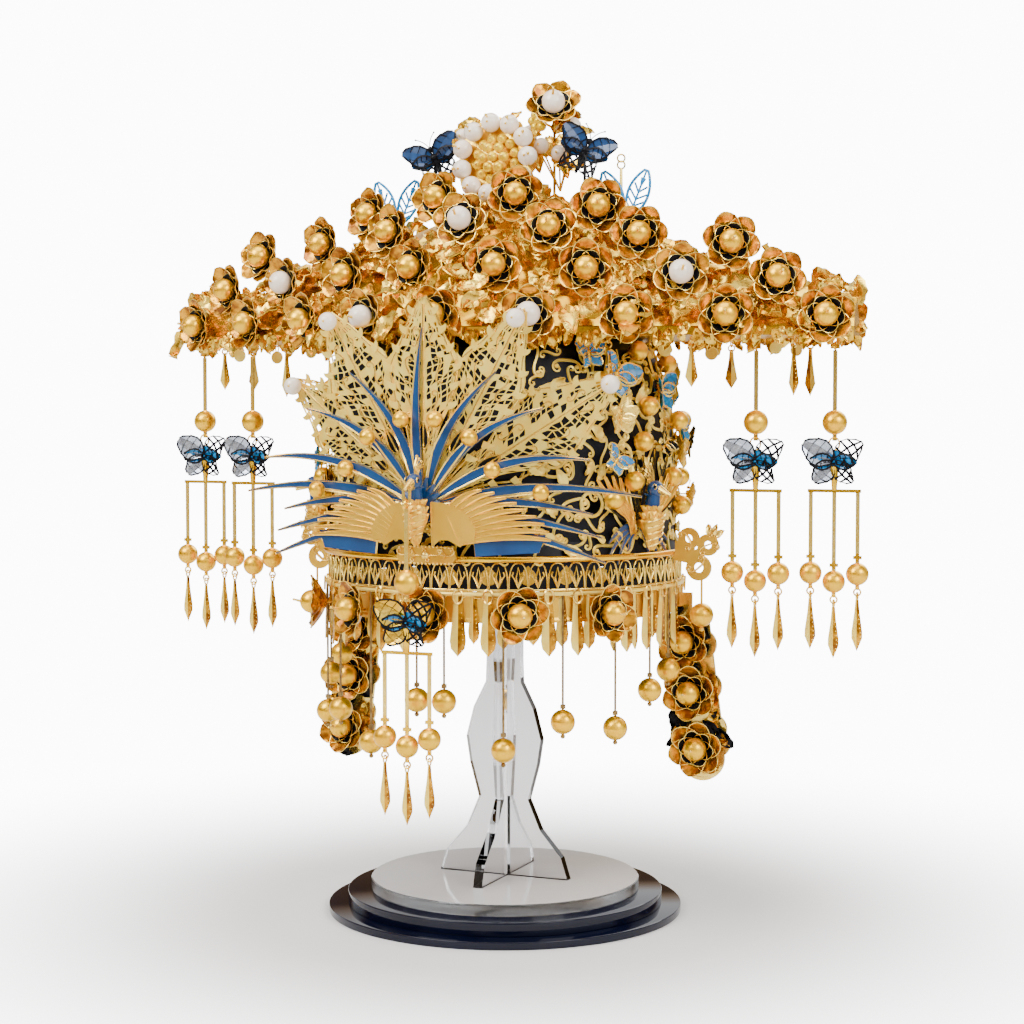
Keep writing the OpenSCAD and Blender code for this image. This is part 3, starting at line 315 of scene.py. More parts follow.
# light tone, dark tone, cloud scale, spread, gloss from and to, dent, dent scale
finishes = {
    "polished": workedFinish("polishedGilt", (1.0, 0.62, 0.03), (0.85, 0.42, 0.0), 120, 0.14, 0.14, 0.26, 0.12, 500, 0.9),
    "petal": workedFinish("petalGilt", (0.8, 0.36, 0.0), (0.24, 0.07, 0.0), 170, 0.1, 0.12, 0.26, 0.25, 900, 0.7),
    "rim": workedFinish("rimGilt", (1.0, 0.76, 0.2), (1.0, 0.64, 0.08), 300, 0.2, 0.12, 0.24, 0.05, 900, 0.8),
    "leaf": workedFinish("leafGilt", (1.0, 0.7, 0.1), (0.75, 0.4, 0.01), 90, 0.12, 0.14, 0.3, 0.4, 700, 0.9),
    "filigree": workedFinish("filigreeGilt", (1.0, 0.78, 0.16), (1.0, 0.66, 0.07), 160, 0.18, 0.26, 0.4, 0.2, 1200, 0.4),
    "satin": workedFinish("satinGilt", (0.95, 0.58, 0.06), (0.82, 0.44, 0.02), 60, 0.3, 0.3, 0.42, 0.12, 1500, 0.85),
    "steel": workedFinish("greyedGilt", (0.42, 0.28, 0.1), (0.18, 0.1, 0.03), 400, 0.2, 0.25, 0.45, 0.2, 900, 0.9),
    "silver": workedFinish("silvered", (0.7, 0.76, 0.85), (0.4, 0.45, 0.55), 300, 0.2, 0.2, 0.35, 0.1, 900, 0.9),
    "amber": workedFinish("amberPearl", (1.0, 0.6, 0.0), (1.0, 0.5, 0.0), 110, 0.3, 0.26, 0.36, 0.03, 700, 0.85, 0.15),
    "lemon": workedFinish("lemonPearl", (1.0, 0.75, 0.0), (0.95, 0.6, 0.0), 110, 0.3, 0.28, 0.38, 0.03, 700, 0.6, 0.3),
    "white": workedFinish("whitePearl", (1.0, 0.92, 0.78), (1.0, 0.8, 0.62), 100, 0.25, 0.16, 0.26, 0.04, 700, 0.0, 0.7),
    "black": workedFinish("blackEnamel", (0.006, 0.006, 0.009), (0.002, 0.002, 0.003), 90, 0.2, 0.3, 0.5, 0.1, 500, 0.0),
    "blue": workedFinish("blueEnamel", (0.0, 0.055, 0.19), (0.0, 0.03, 0.12), 60, 0.25, 0.25, 0.36, 0.1, 900, 0.0, 0.2),
    "sky": workedFinish("skyEnamel", (0.0, 0.3, 0.7), (0.0, 0.18, 0.5), 120, 0.2, 0.25, 0.36, 0.1, 900, 0.0, 0.2),
    "navy": workedFinish("navyAcrylic", (0.003, 0.005, 0.018), (0.001, 0.002, 0.01), 20, 0.3, 0.04, 0.08, 0.02, 300, 0.0),
    "clear": clearFinish("clearAcrylic", (0.97, 0.98, 1.0), 0.0, 0.02),
    "frosted": clearFinish("sawnAcrylic", (0.95, 0.97, 1.0), 0.05, 0.2),
    "pale": workedFinish("paleAcrylic", (1.0, 1.0, 1.0), (0.88, 0.91, 0.95), 30, 0.3, 0.03, 0.08, 0.05, 300, 0.0, 1.0),
}
for look, gleam in [("black", 0.12), ("navy", 0.3)]:
    finishes[look].node_tree.nodes["Principled BSDF"].inputs["Specular IOR Level"].default_value = gleam
print("finishes ready")


# helpers that several pieces share


def islands(name):
    # the loose solids of a CAD node, each as the list of its corners
    bm = bmesh.new()
    bm.from_mesh(nodes[name].data)
    bmesh.ops.remove_doubles(bm, verts=bm.verts, dist=0.01 * mm)
    left = set(bm.verts)
    found = []
    while left:
        stack = [left.pop()]
        corners = []
        while stack:
            corner = stack.pop()
            corners.append(corner.co.copy())
            near = [edge.other_vert(corner) for edge in corner.link_edges]
            stack += [v for v in near if v in left]
            left.difference_update(near)
        found.append(corners)
    bm.free()
    return found


def span(corners):
    low = Vector([min(c[k] for c in corners) for k in range(3)])
    high = Vector([max(c[k] for c in corners) for k in range(3)])
    return low, high


def solids(name):
    # middle and size of each loose solid, from left to right
    boxes = [span(corners) for corners in islands(name)]
    return sorted([((low + high) / 2, high - low) for low, high in boxes], key=lambda box: tuple(box[0]))


def surfaceOf(name):
    bm = bmesh.new()
    bm.from_mesh(nodes[name].data)
    tree = BVHTree.FromBMesh(bm)
    bm.free()
    return tree


def stamp(bm, template, place):
    # adds a copy of a template's mesh at a place
    copy = template.copy()
    copy.transform(place)
    if place.determinant() < 0:
        copy.flip_normals()
    bm.from_mesh(copy)
    bpy.data.meshes.remove(copy)


def asTemplate(bm, name):
    mesh = bpy.data.meshes.new(name)
    bm.to_mesh(mesh)
    bm.free()
    return mesh


def facing(spot, way, spin=0.0, size=1.0):
    # a place whose +Z looks along way, turned about it by spin degrees
    turn = Vector(way).to_track_quat("Z", "Y").to_matrix().to_4x4()
    return Matrix.Translation(spot) @ turn @ Matrix.Rotation(math.radians(spin), 4, "Z") @ Matrix.Scale(size, 4)


def compass(azimuth, elevation=0.0):
    # a direction: degrees from the front towards +X, degrees upwards
    turn, up = math.radians(azimuth), math.radians(elevation)
    return Vector((math.sin(turn) * math.cos(up), -math.cos(turn) * math.cos(up), math.sin(up)))


def azimuthOf(spot):
    return math.degrees(math.atan2(spot.x, -spot.y))


def addPiece(name, bm, looks, body="crown", replaced=(), rounding=0, sharp=38):
    mesh = bpy.data.meshes.new(name)
    bm.to_mesh(mesh)
    bm.free()
    for look in looks:
        mesh.materials.append(finishes[look])
    mesh.shade_smooth()
    if not rounding:
        mesh.set_sharp_from_angle(angle=math.radians(sharp))
    piece = bpy.data.objects.new(name, mesh)
    bpy.context.scene.collection.objects.link(piece)
    if rounding:
        soft = piece.modifiers.new("rounding", "SUBSURF")
        soft.levels = soft.render_levels = rounding
    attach(piece, body)
    if replaced:
        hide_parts(*replaced)
    return piece


shapes = {}


def rod(bm, start, end, radius, tip=None, sides=8, look=0):
    # a round bar between two points in millimetres
    start, end = Vector(start) * mm, Vector(end) * mm
    taper = 1 if tip is None else round(tip / radius, 2)
    key = ("rod", sides, look, taper)
    if key not in shapes:
        made = bmesh.new()
        bmesh.ops.create_cone(made, cap_ends=True, segments=sides, radius1=1, radius2=taper, depth=1)
        for face in made.faces:
            face.material_index = look
        shapes[key] = asTemplate(made, "rod")
    size = Matrix.Diagonal((radius * mm, radius * mm, (end - start).length, 1))
    stamp(bm, shapes[key], facing((start + end) / 2, end - start) @ size)


def ball(bm, spot, radius, segments=16, look=0, squash=1.0):
    key = ("ball", segments, look)
    if key not in shapes:
        made = bmesh.new()
        bmesh.ops.create_uvsphere(made, u_segments=segments, v_segments=max(6, segments * 2 // 3), radius=1)
        for face in made.faces:
            face.material_index = look
        shapes[key] = asTemplate(made, "ball")
    size = Matrix.Diagonal((radius * mm, radius * mm, radius * squash * mm, 1))
    stamp(bm, shapes[key], Matrix.Translation(Vector(spot) * mm) @ size)


def wireTemplate(name, paths, radius, closed=False, taper=1.0, flat=1.0, rounding=1):
    # wires along paths of points in millimetres; taper thins them towards both ends
    curve = bpy.data.curves.new(name, "CURVE")
    curve.dimensions = "3D"
    curve.bevel_depth = radius * mm
    curve.bevel_resolution = rounding
    curve.use_fill_caps = True
    for path in paths:
        line = curve.splines.new("POLY")
        line.points.add(len(path) - 1)
        for k, (point, place) in enumerate(zip(line.points, path)):
            point.co = (*(Vector(place) * mm), 1)
            point.radius = taper + (1 - taper) * math.sin(math.pi * k / max(1, len(path) - 1))
        line.use_cyclic_u = closed
    holder = bpy.data.objects.new(name, curve)
    mesh = bpy.data.meshes.new_from_object(holder)
    bpy.data.objects.remove(holder)
    bpy.data.curves.remove(curve)
    mesh.transform(Matrix.Diagonal((1, 1, flat, 1)))
    mesh.materials.clear()
    return mesh


def ringPath(radius, count=14, centre=(0, 0, 0), tall=1.0):
    turns = [2 * math.pi * k / count for k in range(count)]
    return [Vector(centre) + Vector((math.cos(t) * radius, math.sin(t) * radius * tall, 0)) for t in turns]


def scrollPath(kind, size, turns=1.0, steps=20):
    # a line that bends ever more towards its two ends: curled the same way for C, opposite ways for S
    half = [Vector((0, 0, 0))]
    heading = 0
    for k in range(steps):
        heading += turns * 5 * math.pi * ((k + 0.5) / steps) ** 1.5 / steps
        half.append(half[-1] + Vector((math.cos(heading), math.sin(heading), 0)))
    other = [Vector((-p.x, p.y, 0)) if kind == "C" else -p for p in half[:0:-1]]
    path = other + half
    share = size / (max(p.x for p in path) - min(p.x for p in path))
    return [p * share for p in path]


def solidSheet(bm, thickness):
    # gives a sheet a second skin behind it and closes the edges between the two
    bmesh.ops.recalc_face_normals(bm, faces=bm.faces)
    bm.normal_update()
    shift = {v: v.normal * thickness * mm for v in bm.verts}
    edges = [(edge, edge.link_faces[0]) for edge in bm.edges if edge.is_boundary]
    made = bmesh.ops.duplicate(bm, geom=bm.faces[:])
    twin = made["vert_map"]
    for v, move in shift.items():
        if v in twin:
            twin[v].co -= move
    bmesh.ops.reverse_faces(bm, faces=[face for face in made["geom"] if isinstance(face, bmesh.types.BMFace)])
    for edge, face in edges:
        a, b = [loop.vert for loop in face.loops if loop.edge == edge][0], None
        b = edge.other_vert(a)
        side = bm.faces.new((b, a, twin[a], twin[b]))
        side.material_index = face.material_index


def bendLine(start, bend, end, steps):
    # points along a quadratic curve, with the way across it at each
    points = []
    for k in range(steps + 1):
        t = k / steps
        spot = start * (1 - t) ** 2 + bend * 2 * t * (1 - t) + end * t * t
        way = ((bend - start) * (1 - t) + (end - bend) * t).normalized()
        points.append((spot, Vector((-way.y, way.x, 0))))
    return points


def horn(bm, start, bend, end, width, tip, ridge=0.0, rim=0.0, look=0, rimLook=1, steps=12, root=1.0):
    # a curved tapering strip in the XY plane, in millimetres, ridged along its middle; root narrows its start
    line = bendLine(Vector((*start, 0)), Vector((*bend, 0)), Vector((*end, 0)), steps)
    sheet = bmesh.ops.create_grid(bm, x_segments=2, y_segments=steps, size=0.5)
    for v in sheet["verts"]:
        k = round((v.co.y + 0.5) * steps)
        spot, side = line[k]
        half = (width + (tip - width) * (k / steps) ** 2) / 2 * (root + (1 - root) * min(1, 3 * k / steps))
        v.co = (spot + side * v.co.x * 2 * half + Vector((0, 0, ridge * (1 - abs(v.co.x * 2))))) * mm
    faces = list({face for v in sheet["verts"] for face in v.link_faces})
    for face in faces:
        face.material_index = look
    if rim:
        edge = bmesh.ops.inset_region(bm, faces=faces, thickness=rim * mm, use_boundary=True, use_even_offset=True)
        for face in edge["faces"]:
            face.material_index = rimLook


# stand: dark base and step, clear disc and the crossed clear plates
stand = {"bevel": 0.5, "sides": 160, "blocks": 72, "blockDepth": 0.5}


def bevelledDisc(bm, node, bevel):
    low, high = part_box(node)
    radius = (high.x - low.x) / 2
    bmesh.ops.create_cone(
        bm, cap_ends=True, segments=stand["sides"], radius1=radius, radius2=radius, depth=high.z - low.z,
        matrix=Matrix.Translation((0, 0, (low.z + high.z) / 2)))
    rims = [edge for edge in bm.edges if abs(edge.verts[0].co.z - edge.verts[1].co.z) < 0.1 * mm]
    bmesh.ops.bevel(bm, geom=rims, offset=bevel * mm, affect="EDGES", segments=3, profile=0.5, material=-1)


def buildStand():
    for node in ["base_plate", "base_step"]:
        bm = bmesh.new()
        bevelledDisc(bm, node, stand["bevel"])
        addPiece("dark_" + node, bm, ["navy"], replaced=[node])
    bm = bmesh.new()
    low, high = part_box("clear_disc")
    outer = high.x / mm
    # uneven upright blocks make the disc's edge sparkle
    for up, inset in [(low.z, 0.4), (low.z + 0.5 * mm, 0), (high.z - 0.5 * mm, 0), (high.z, 0.4)]:
        for k in range(stand["blocks"] * 2):
            depth = stand["blockDepth"] * (k % 2) * (0.4 + 0.6 * noise.noise(Vector((k * 0.7, 3, 1))))
            bm.verts.new((compass(180 * k / stand["blocks"]) * (outer - inset - abs(depth)) + Vector((0, 0, up / mm))) * mm)
    bm.verts.ensure_lookup_table()
    around = stand["blocks"] * 2
    for ring in range(3):
        for k in range(around):
            corners = [ring * around + k, ring * around + (k + 1) % around]
            corners += [corners[1] + around, corners[0] + around]
            bm.faces.new([bm.verts[i] for i in corners]).material_index = 1
    bm.faces.new([bm.verts[k] for k in range(around - 1, -1, -1)]).material_index = 0
    bm.faces.new([bm.verts[3 * around + k] for k in range(around)]).material_index = 0
    addPiece("clearDisc", bm, ["pale", "frosted"], replaced=["clear_disc"], sharp=20)
    for node in ["post_plate_side", "post_plate_front", "post_rest"]:
        nodes[node].data.materials.clear()
        nodes[node].data.materials.append(finishes["clear"])


buildStand()
print("stand made")

# flowers: two rings of ribbed petals with bright rims, the inner one dark, on a stub
flower = {
    "petals": 6,
    "radius": 14.4,
    "depth": 8.4,
    "cells": 6,
    "innerRadius": 9.4,
    "innerDepth": 5.4,
    "innerCells": 5,
    "start": 2.2,
    "ribs": 4,
    "ribHeight": 0.4,
    "rim": 0.32,
    "sheet": 0.25,
    "stub": 3.2,
    "beadLift": 7.0,  # from the flower's base to its bead's middle
    "tilt": 7,
}


def petal(bm, reach, depth, half, turn, cells, looks, drop=0.0):
    sheet = bmesh.ops.create_grid(bm, x_segments=cells, y_segments=cells, size=0.5)
    for v in sheet["verts"]:
        across, along = v.co.x * 2, v.co.y + 0.5
        out = flower["start"] + (reach - flower["start"]) * along * (1 - 0.15 * across * across * along)
        rib = flower["ribHeight"] * math.cos(across * flower["ribs"] * math.pi) * along
        up = depth * (out / reach) ** 1.7 + rib + 1.1 * across ** 2 * along - drop - 0.7 * along ** 6
        turned = across * half / max(out, 3.0) * math.sin(math.pi * (0.2 + 0.55 * along))
        v.co = Vector((math.sin(turned) * out, math.cos(turned) * out, up)) * mm
    faces = list({face for v in sheet["verts"] for face in v.link_faces})
    for face in faces:
        face.material_index = looks[0]
    edge = bmesh.ops.inset_region(
        bm, faces=faces, thickness=flower["rim"] * mm, use_boundary=True, use_even_offset=True)
    for face in edge["faces"]:
        face.material_index = looks[1]
    bmesh.ops.rotate(bm, verts=list({v for face in faces + edge["faces"] for v in face.verts}),
                     cent=(0, 0, 0), matrix=Matrix.Rotation(turn, 3, "Z"))


def flowerTemplate(name):
    # looks: petal, rim, dark cup, pin
    bm = bmesh.new()
    count = flower["petals"]
    for k in range(count):
        turn = 2 * math.pi * k / count
        petal(bm, flower["radius"], flower["depth"], 7.6, turn, flower["cells"], (0, 1), 0.5 * (k % 2))
        petal(bm, flower["innerRadius"], flower["innerDepth"], 5.4, turn + math.pi / count,
              flower["innerCells"], (2, 1), -0.6 + 0.3 * (k % 2))
    solidSheet(bm, flower["sheet"])
    ball(bm, (0, 0, 0.4), 2.9, 12, 0, 0.5)
    rod(bm, (0, 0, -flower["stub"]), (0, 0, 0), 0.9, look=0)
    front = flower["beadLift"] + 5.6
    rod(bm, (0, 0, front), (0.9, 0.5, front + 3.4), 0.75, 0.5, look=1)
    ball(bm, (0.9, 0.5, front + 3.5), 0.75, 8, 1)
    return asTemplate(bm, name)


flowerMesh = flowerTemplate("flowerTemplate")
roofSkin = surfaceOf("roof_shell")
rootZ = sum(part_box("phoenix_mount")[k].z for k in range(2)) / 2
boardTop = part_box("roof_board")[1].z
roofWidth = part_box("roof_board")[1].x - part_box("roof_board")[0].x


def roofWay(spot):
    # flowers look outwards a little more towards the tips, and up a little more towards the crest
    share = min(1, abs(spot.x) / (roofWidth / 2))
    azimuth = math.copysign(10 + 16 * share, spot.x) if abs(spot.x) > mm else 0
    elevation = min(12, max(0, (spot.z - boardTop - 6 * mm) * 200))
    way = compass(azimuth, elevation)
    return way if spot.y < 0 else Vector((way.x, -way.y, way.z))


def jitter(way, degrees):
    turn = Matrix.Rotation(math.radians(random.uniform(-degrees, degrees)), 3, "Z")
    tip = Matrix.Rotation(math.radians(random.uniform(-degrees, degrees)), 3, "X")
    return turn @ tip @ way


def flowersAt(name, node, spots, wired=False):
    bm = bmesh.new()
    for spot, way in spots:
        way = jitter(way, flower["tilt"])
        base = spot - way * flower["beadLift"] * mm
        stamp(bm, flowerMesh, facing(base, way, random.uniform(0, 60)))
        if wired:
            foot = base - way * flower["stub"] * mm
            found = roofSkin.ray_cast(foot, Vector((0, 0, -1)))[0]
            if found:
                rod(bm, foot / mm, (found - Vector((0, 0, mm))) / mm, 0.8, look=0)
    addPiece(name, bm, ["petal", "rim", "black"], replaced=[node], sharp=60)


def buildFlowers():
    random.seed(11)
    beads = [spot for node in ["roof_pearls", "white_pearls"] for spot, size in solids(node)]
    front = [(spot, roofWay(spot)) for spot in beads if spot.y < 0]
    back = [(spot, roofWay(spot)) for spot in beads if spot.y >= 0]
    flowersAt("roofFlowersFront", "roof_flowers_front", front, True)
    flowersAt("roofFlowersBack", "roof_flowers_back", back, True)
    band = [(spot, compass(azimuthOf(spot))) for spot, size in solids("band_pearls")]
    flowersAt("bandFlowers", "band_flowers", band)
    temple = [(spot, compass(0)) for spot, size in solids("lappet_pearls")]
    flowersAt("lappetFlowers", "lappet_flowers", temple)
    top = [(spot, compass(12, 30)) for spot, size in solids("top_pearl")]
    flowersAt("topFlower", "top_flower", top, True)


buildFlowers()
print("flowers made")

# beads: smooth pearls with the small mouth of the drilled hole
bead = {"segments": 24, "mouth": 0.13}


def buildBeads():
    amber = ["drop_beads", "band_pearls", "spray_beads", "roof_pearls", "phoenix_beads", "scroll_beads", "lappet_pearls"]
    white = ["white_pearls", "medallion_pearls", "top_pearl", "fan_pearls"]
    for node in amber + white:
        bm = bmesh.new()
        for spot, size in solids(node):
            radius = max(size) / 2 / mm
            ball(bm, spot / mm, radius, bead["segments"])
            if node in ("medallion_pearls", "fan_pearls"):
                ball(bm, (spot + Vector((0, -1, 0)) * radius * mm) / mm, radius * bead["mouth"], 8, 1)
        look, slot = ("amber", "amber_bead") if node in amber else ("white", "white_pearl")
        addPiece("fine_" + node, bm, [look, "rim"], replaced=[node])


buildBeads()
print("beads made")

# crumpled gilt leaves that fill the roof between its flowers
foliage = {
    "count": 640,
    "length": (10, 19),
    "width": 0.52,  # share of the length
    "lift": (0.5, 5.0),
    "sheet": 0.22,
    "templates": 4,
}


def leafTemplate(name, seed, cells=(4, 6), pierced=False):
    # a pointed leaf with a toothed edge, folded along its middle and crumpled; one unit is 10 mm
    bm = bmesh.new()
    sheet = bmesh.ops.create_grid(bm, x_segments=cells[0], y_segments=cells[1], size=0.5)
    for v in sheet["verts"]:
        across, along = v.co.x * 2, v.co.y + 0.5
        tooth = 1 + 0.16 * (round(along * cells[1]) % 2)
        half = 5 * foliage["width"] * math.sin(math.pi * min(0.97, 0.1 + 0.87 * along)) ** 0.8 * tooth
        crumple = noise.noise(Vector((across * 1.7, along * 4, seed * 7.3))) * 2.4
        v.co = Vector((across * half, along * 10, 1.2 * abs(across) + crumple - 2 * along * along)) * mm
    solidSheet(bm, foliage["sheet"])
    return asTemplate(bm, name)


leafMeshes = [leafTemplate("leafTemplate" + str(k), k) for k in range(foliage["templates"])]


def strewLeaves(bm, spot, normal, size, lean):
    # one leaf on a surface, its base at spot, raised from the surface by lean degrees
    place = facing(spot, normal, random.uniform(0, 360)) @ Matrix.Rotation(math.radians(lean), 4, "X")
    stamp(bm, random.choice(leafMeshes), place @ Matrix.Scale(size / 10, 4))


def buildFoliage():
    random.seed(5)
    low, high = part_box("roof_shell")
    for name, side in [("roofLeavesFront", -1), ("roofLeavesBack", 1)]:
        bm = bmesh.new()
        made = 0
        while made < foliage["count"] / 2:
            x = random.uniform(low.x, high.x)
            z = random.uniform(low.z, high.z)
            hit = roofSkin.ray_cast(Vector((x, side * 0.3, z)), Vector((0, -side, 0)))
            if hit[0] is None:
                continue
            lift = random.uniform(*foliage["lift"]) * mm
            strewLeaves(bm, hit[0] + hit[1] * lift, hit[1], random.uniform(*foliage["length"]), random.uniform(8, 42))
            made += 1
        addPiece(name, bm, ["leaf"], sharp=50)


def boardEdge(x):
    # half of the roof board's depth at a distance from the middle, in millimetres
    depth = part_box("roof_board")[1].y / mm
    return 6 + (depth - 6) * (1 - min(1, abs(x) * 2 * mm / roofWidth) ** 1.25)


def buildEdgeLeaves():
    random.seed(21)
    bm = bmesh.new()
    low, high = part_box("roof_board")
    x = low.x / mm + 4
    while x < high.x / mm - 4:
        for side in (-1, 1):
            y = side * (boardEdge(x) + 0.4)
            way = Vector((0.2 * math.copysign(1, x), side, random.uniform(-0.1, 0.5)))
            spot = Vector((x, y, high.z / mm - random.uniform(-2, 3))) * mm
            size = random.uniform(6, 11) / 10
            stamp(bm, random.choice(leafMeshes), facing(spot, way, random.uniform(-50, 50) + 180, size))
        x += random.uniform(2.4, 4.4)
    addPiece("edgeLeaves", bm, ["leaf"], sharp=50)


buildFoliage()
buildEdgeLeaves()
for node in ["roof_board", "roof_shell", "rail_ring", "medallion"]:
    nodes[node].data.materials.clear()
    nodes[node].data.materials.append(finishes["polished"])
for node in ["head_band", "lappet_left", "lappet_right"]:
    nodes[node].data.materials.clear()
    nodes[node].data.materials.append(finishes["satin"])
for node in ["cap_shell", "lattice_band"]:
    nodes[node].data.materials.clear()
    nodes[node].data.materials.append(finishes["black"])
print("leaves strewn")

# helpers for wires and plates on the band and the cap
capShape = {
    "profile": [(0, 1.04), (0.06, 1.01), (0.25, 1.01), (0.5, 0.99), (0.66, 0.95), (0.78, 0.88), (0.88, 0.75)],
    "holeRows": [(0.2, 5.5), (0.38, 5.2), (0.56, 4.7)],  # share of the height, radius of a hole
    "holesRound": 14,
    "rows": 9,
    "columns": 32,
    "size": 14.5,
    "wire": 0.75,
    "grain": 1.2,
    "leaves": 150,
}
capLow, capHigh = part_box("cap_shell")
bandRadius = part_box("lattice_band")[1].x


def capRadius(z):
    # the cap's radius in metres at a height in metres
    share = (z - capLow.z) / (capHigh.z - capLow.z)
    unit = capHigh.x / capShape["profile"][0][1]
    for (lowUp, lowOut), (highUp, highOut) in zip(capShape["profile"], capShape["profile"][1:]):
        if share <= highUp:
            return unit * (lowOut + (highOut - lowOut) * (share - lowUp) / (highUp - lowUp))
    return unit * capShape["profile"][-1][1]


def roundThe(radius, azimuth, z):
    # a point in millimetres beside the axis, from a radius and a height in metres
    return compass(azimuth) * radius / mm + Vector((0, 0, z / mm))


def onCap(azimuth, z, path, spin=0, lift=0.4):
    # a flat path in millimetres laid on the cap's skin
    turned = Matrix.Rotation(math.radians(spin), 3, "Z")
    laid = []
    for point in path:
        flat = turned @ point
        high = z + flat.y * mm
        radius = capRadius(high)
        laid.append(roundThe(radius + lift * mm, azimuth + math.degrees(flat.x * mm / radius), high))
    return laid


def onBand(azimuth, z, path, radius):
    laid = []
    for point in path:
        turn = azimuth + math.degrees(point.x * mm / radius)
        laid.append(roundThe(radius + point.z * mm, turn, z + point.y * mm))
    return laid


def addWires(bm, paths, radius, closed=False, taper=1.0, look=0, rounding=1):
    mesh = wireTemplate("wires", paths, radius, closed, taper, rounding=rounding)
    for polygon in mesh.polygons:
        polygon.material_index = look
    bm.from_mesh(mesh)
    bpy.data.meshes.remove(mesh)


def buildCapScrolls():
    random.seed(3)
    bm = bmesh.new()
    paths, rims = [], []
    rows, columns = capShape["rows"], capShape["columns"]
    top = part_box("roof_board")[0].z
    step = (top - capLow.z) / rows
    kinds = {kind: scrollPath(kind, capShape["size"], 0.95, 14) for kind in "CS"}
    small = {kind: scrollPath(kind, capShape["size"] * 0.62, 0.9, 12) for kind in "CS"}
    for row in range(rows):
        for column in range(columns):
            z = capLow.z + step * (row + 0.5)
            azimuth = 360 * (column + 0.5 * (row % 2)) / columns
            kind = "CS"[(row + column) % 2]
            spin = random.choice([0, 60, 120, 180, 240, 300]) + random.uniform(-14, 14)
            paths.append(onCap(azimuth, z, kinds[kind], spin, 0.5))
            paths.append(onCap(azimuth + 180 / columns, z + step * 0.3, small[kind], spin + 90, 0.3))
            for end in (0, -1):
                ball(bm, paths[-2][end], capShape["grain"], 6)
    height = capHigh.z - capLow.z
    for row, (up, radius) in enumerate(capShape["holeRows"]):
        for k in range(capShape["holesRound"]):
            azimuth = 360 * (k + 0.5 * (row % 2)) / capShape["holesRound"]
            rims.append(onCap(azimuth, capLow.z + up * height, ringPath(radius + 0.5, 20)))
    addWires(bm, paths, capShape["wire"], taper=0.6, rounding=0)
    addWires(bm, rims, capShape["wire"] * 1.2, True)
    for k in range(capShape["leaves"]):
        azimuth, z = random.uniform(0, 360), random.uniform(capLow.z + 4 * mm, top - 6 * mm)
        skin = roundThe(capRadius(z) + random.uniform(0.5, 2) * mm, azimuth, z)
        strewLeaves(bm, skin * mm, compass(azimuth), random.uniform(6, 11), random.uniform(5, 25))
    addPiece("capScrolls", bm, ["filigree"], sharp=60)


# lattice: outlined arches with a lily in each, and scallops below
lattice = {"arches": 60, "wire": 0.48, "scallop": 3.4}


def buildLattice():
    bm = bmesh.new()
    low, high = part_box("lattice_band")
    tall = (high.z - low.z) / mm
    half = math.pi * bandRadius / mm / lattice["arches"]
    arch = [Vector((s * half * 0.94 * math.cos(t) ** 0.7, 1 + (tall - 2.5) * (math.sin(t) ** 0.8), 0.2))
            for s, t in [(-1, math.pi / 2 * k / 7) for k in range(8)] + [(1, math.pi / 2 * k / 7) for k in range(6, -1, -1)]]
    lily = [Vector((x * half, y * tall, 0.3)) for x, y in [(-0.5, 0.62), (-0.62, 0.5), (-0.42, 0.4), (-0.14, 0.2), (0, 0.1)]]
    spear = [Vector((x * half, y * tall, 0.3)) for x, y in [(0, 0.1), (-0.22, 0.45), (0, 0.78), (0.22, 0.45), (0, 0.1)]]
    scallop = [Vector((half * math.cos(t), -lattice["scallop"] * math.sin(t), 0.3))
               for t in [math.pi * k / 8 for k in range(9)]]
    paths = []
    for k in range(lattice["arches"]):
        azimuth = 360 * (k + 0.5) / lattice["arches"]
        mirrored = [Vector((-p.x, p.y, p.z)) for p in lily]
        for path in (arch, lily, mirrored, spear, scallop):
            paths.append(onBand(azimuth, low.z, path, bandRadius))
        ball(bm, roundThe(bandRadius + 0.5 * mm, azimuth + 180 / lattice["arches"], low.z + 0.5 * mm), 0.9, 8)
    addWires(bm, paths, lattice["wire"])
    ends = [[roundThe(bandRadius + 0.3 * mm, 3 * k, z) for k in range(120)] for z in (low.z + 0.5 * mm, high.z - 0.5 * mm)]
    addWires(bm, ends, 0.6, True)
    addPiece("latticeWires", bm, ["rim"], sharp=60)


# butterflies: veined wings in pairs, a body and feelers; their span is that of the solids
insect = {"span": 27, "cells": (3, 4), "vein": 0.42, "sheet": 0.45, "lift": 22}


def wingLobe(bm, tip, width, looks, pierced):
    # one lobe from the body to its tip, in shares of the span
    cells = insect["cells"]
    sheet = bmesh.ops.create_grid(bm, x_segments=cells[0], y_segments=cells[1], size=0.5)
    tip = Vector((*tip, 0))
    side = Vector((-tip.y, tip.x, 0)).normalized()
    for v in sheet["verts"]:
        across, along = v.co.x * 2, v.co.y + 0.5
        half = width / 2 * math.sin(math.pi * (0.1 + 0.76 * along ** 0.9))
        spot = tip * (0.08 + 0.92 * along * (1 - 0.1 * across * across))
        v.co = (spot + side * across * half + Vector((0, 0, 0.05 * across * across))) * insect["span"] * mm
    faces = list({face for v in sheet["verts"] for face in v.link_faces})
    for face in faces:
        face.material_index = looks[0]
    vein = insect["vein"] * (1.5 if pierced else 1)
    ribs = bmesh.ops.inset_individual(bm, faces=faces, thickness=vein * mm, depth=0)
    for face in ribs["faces"]:
        face.material_index = looks[1]
    if pierced:
        bmesh.ops.delete(bm, geom=faces, context="FACES_ONLY")


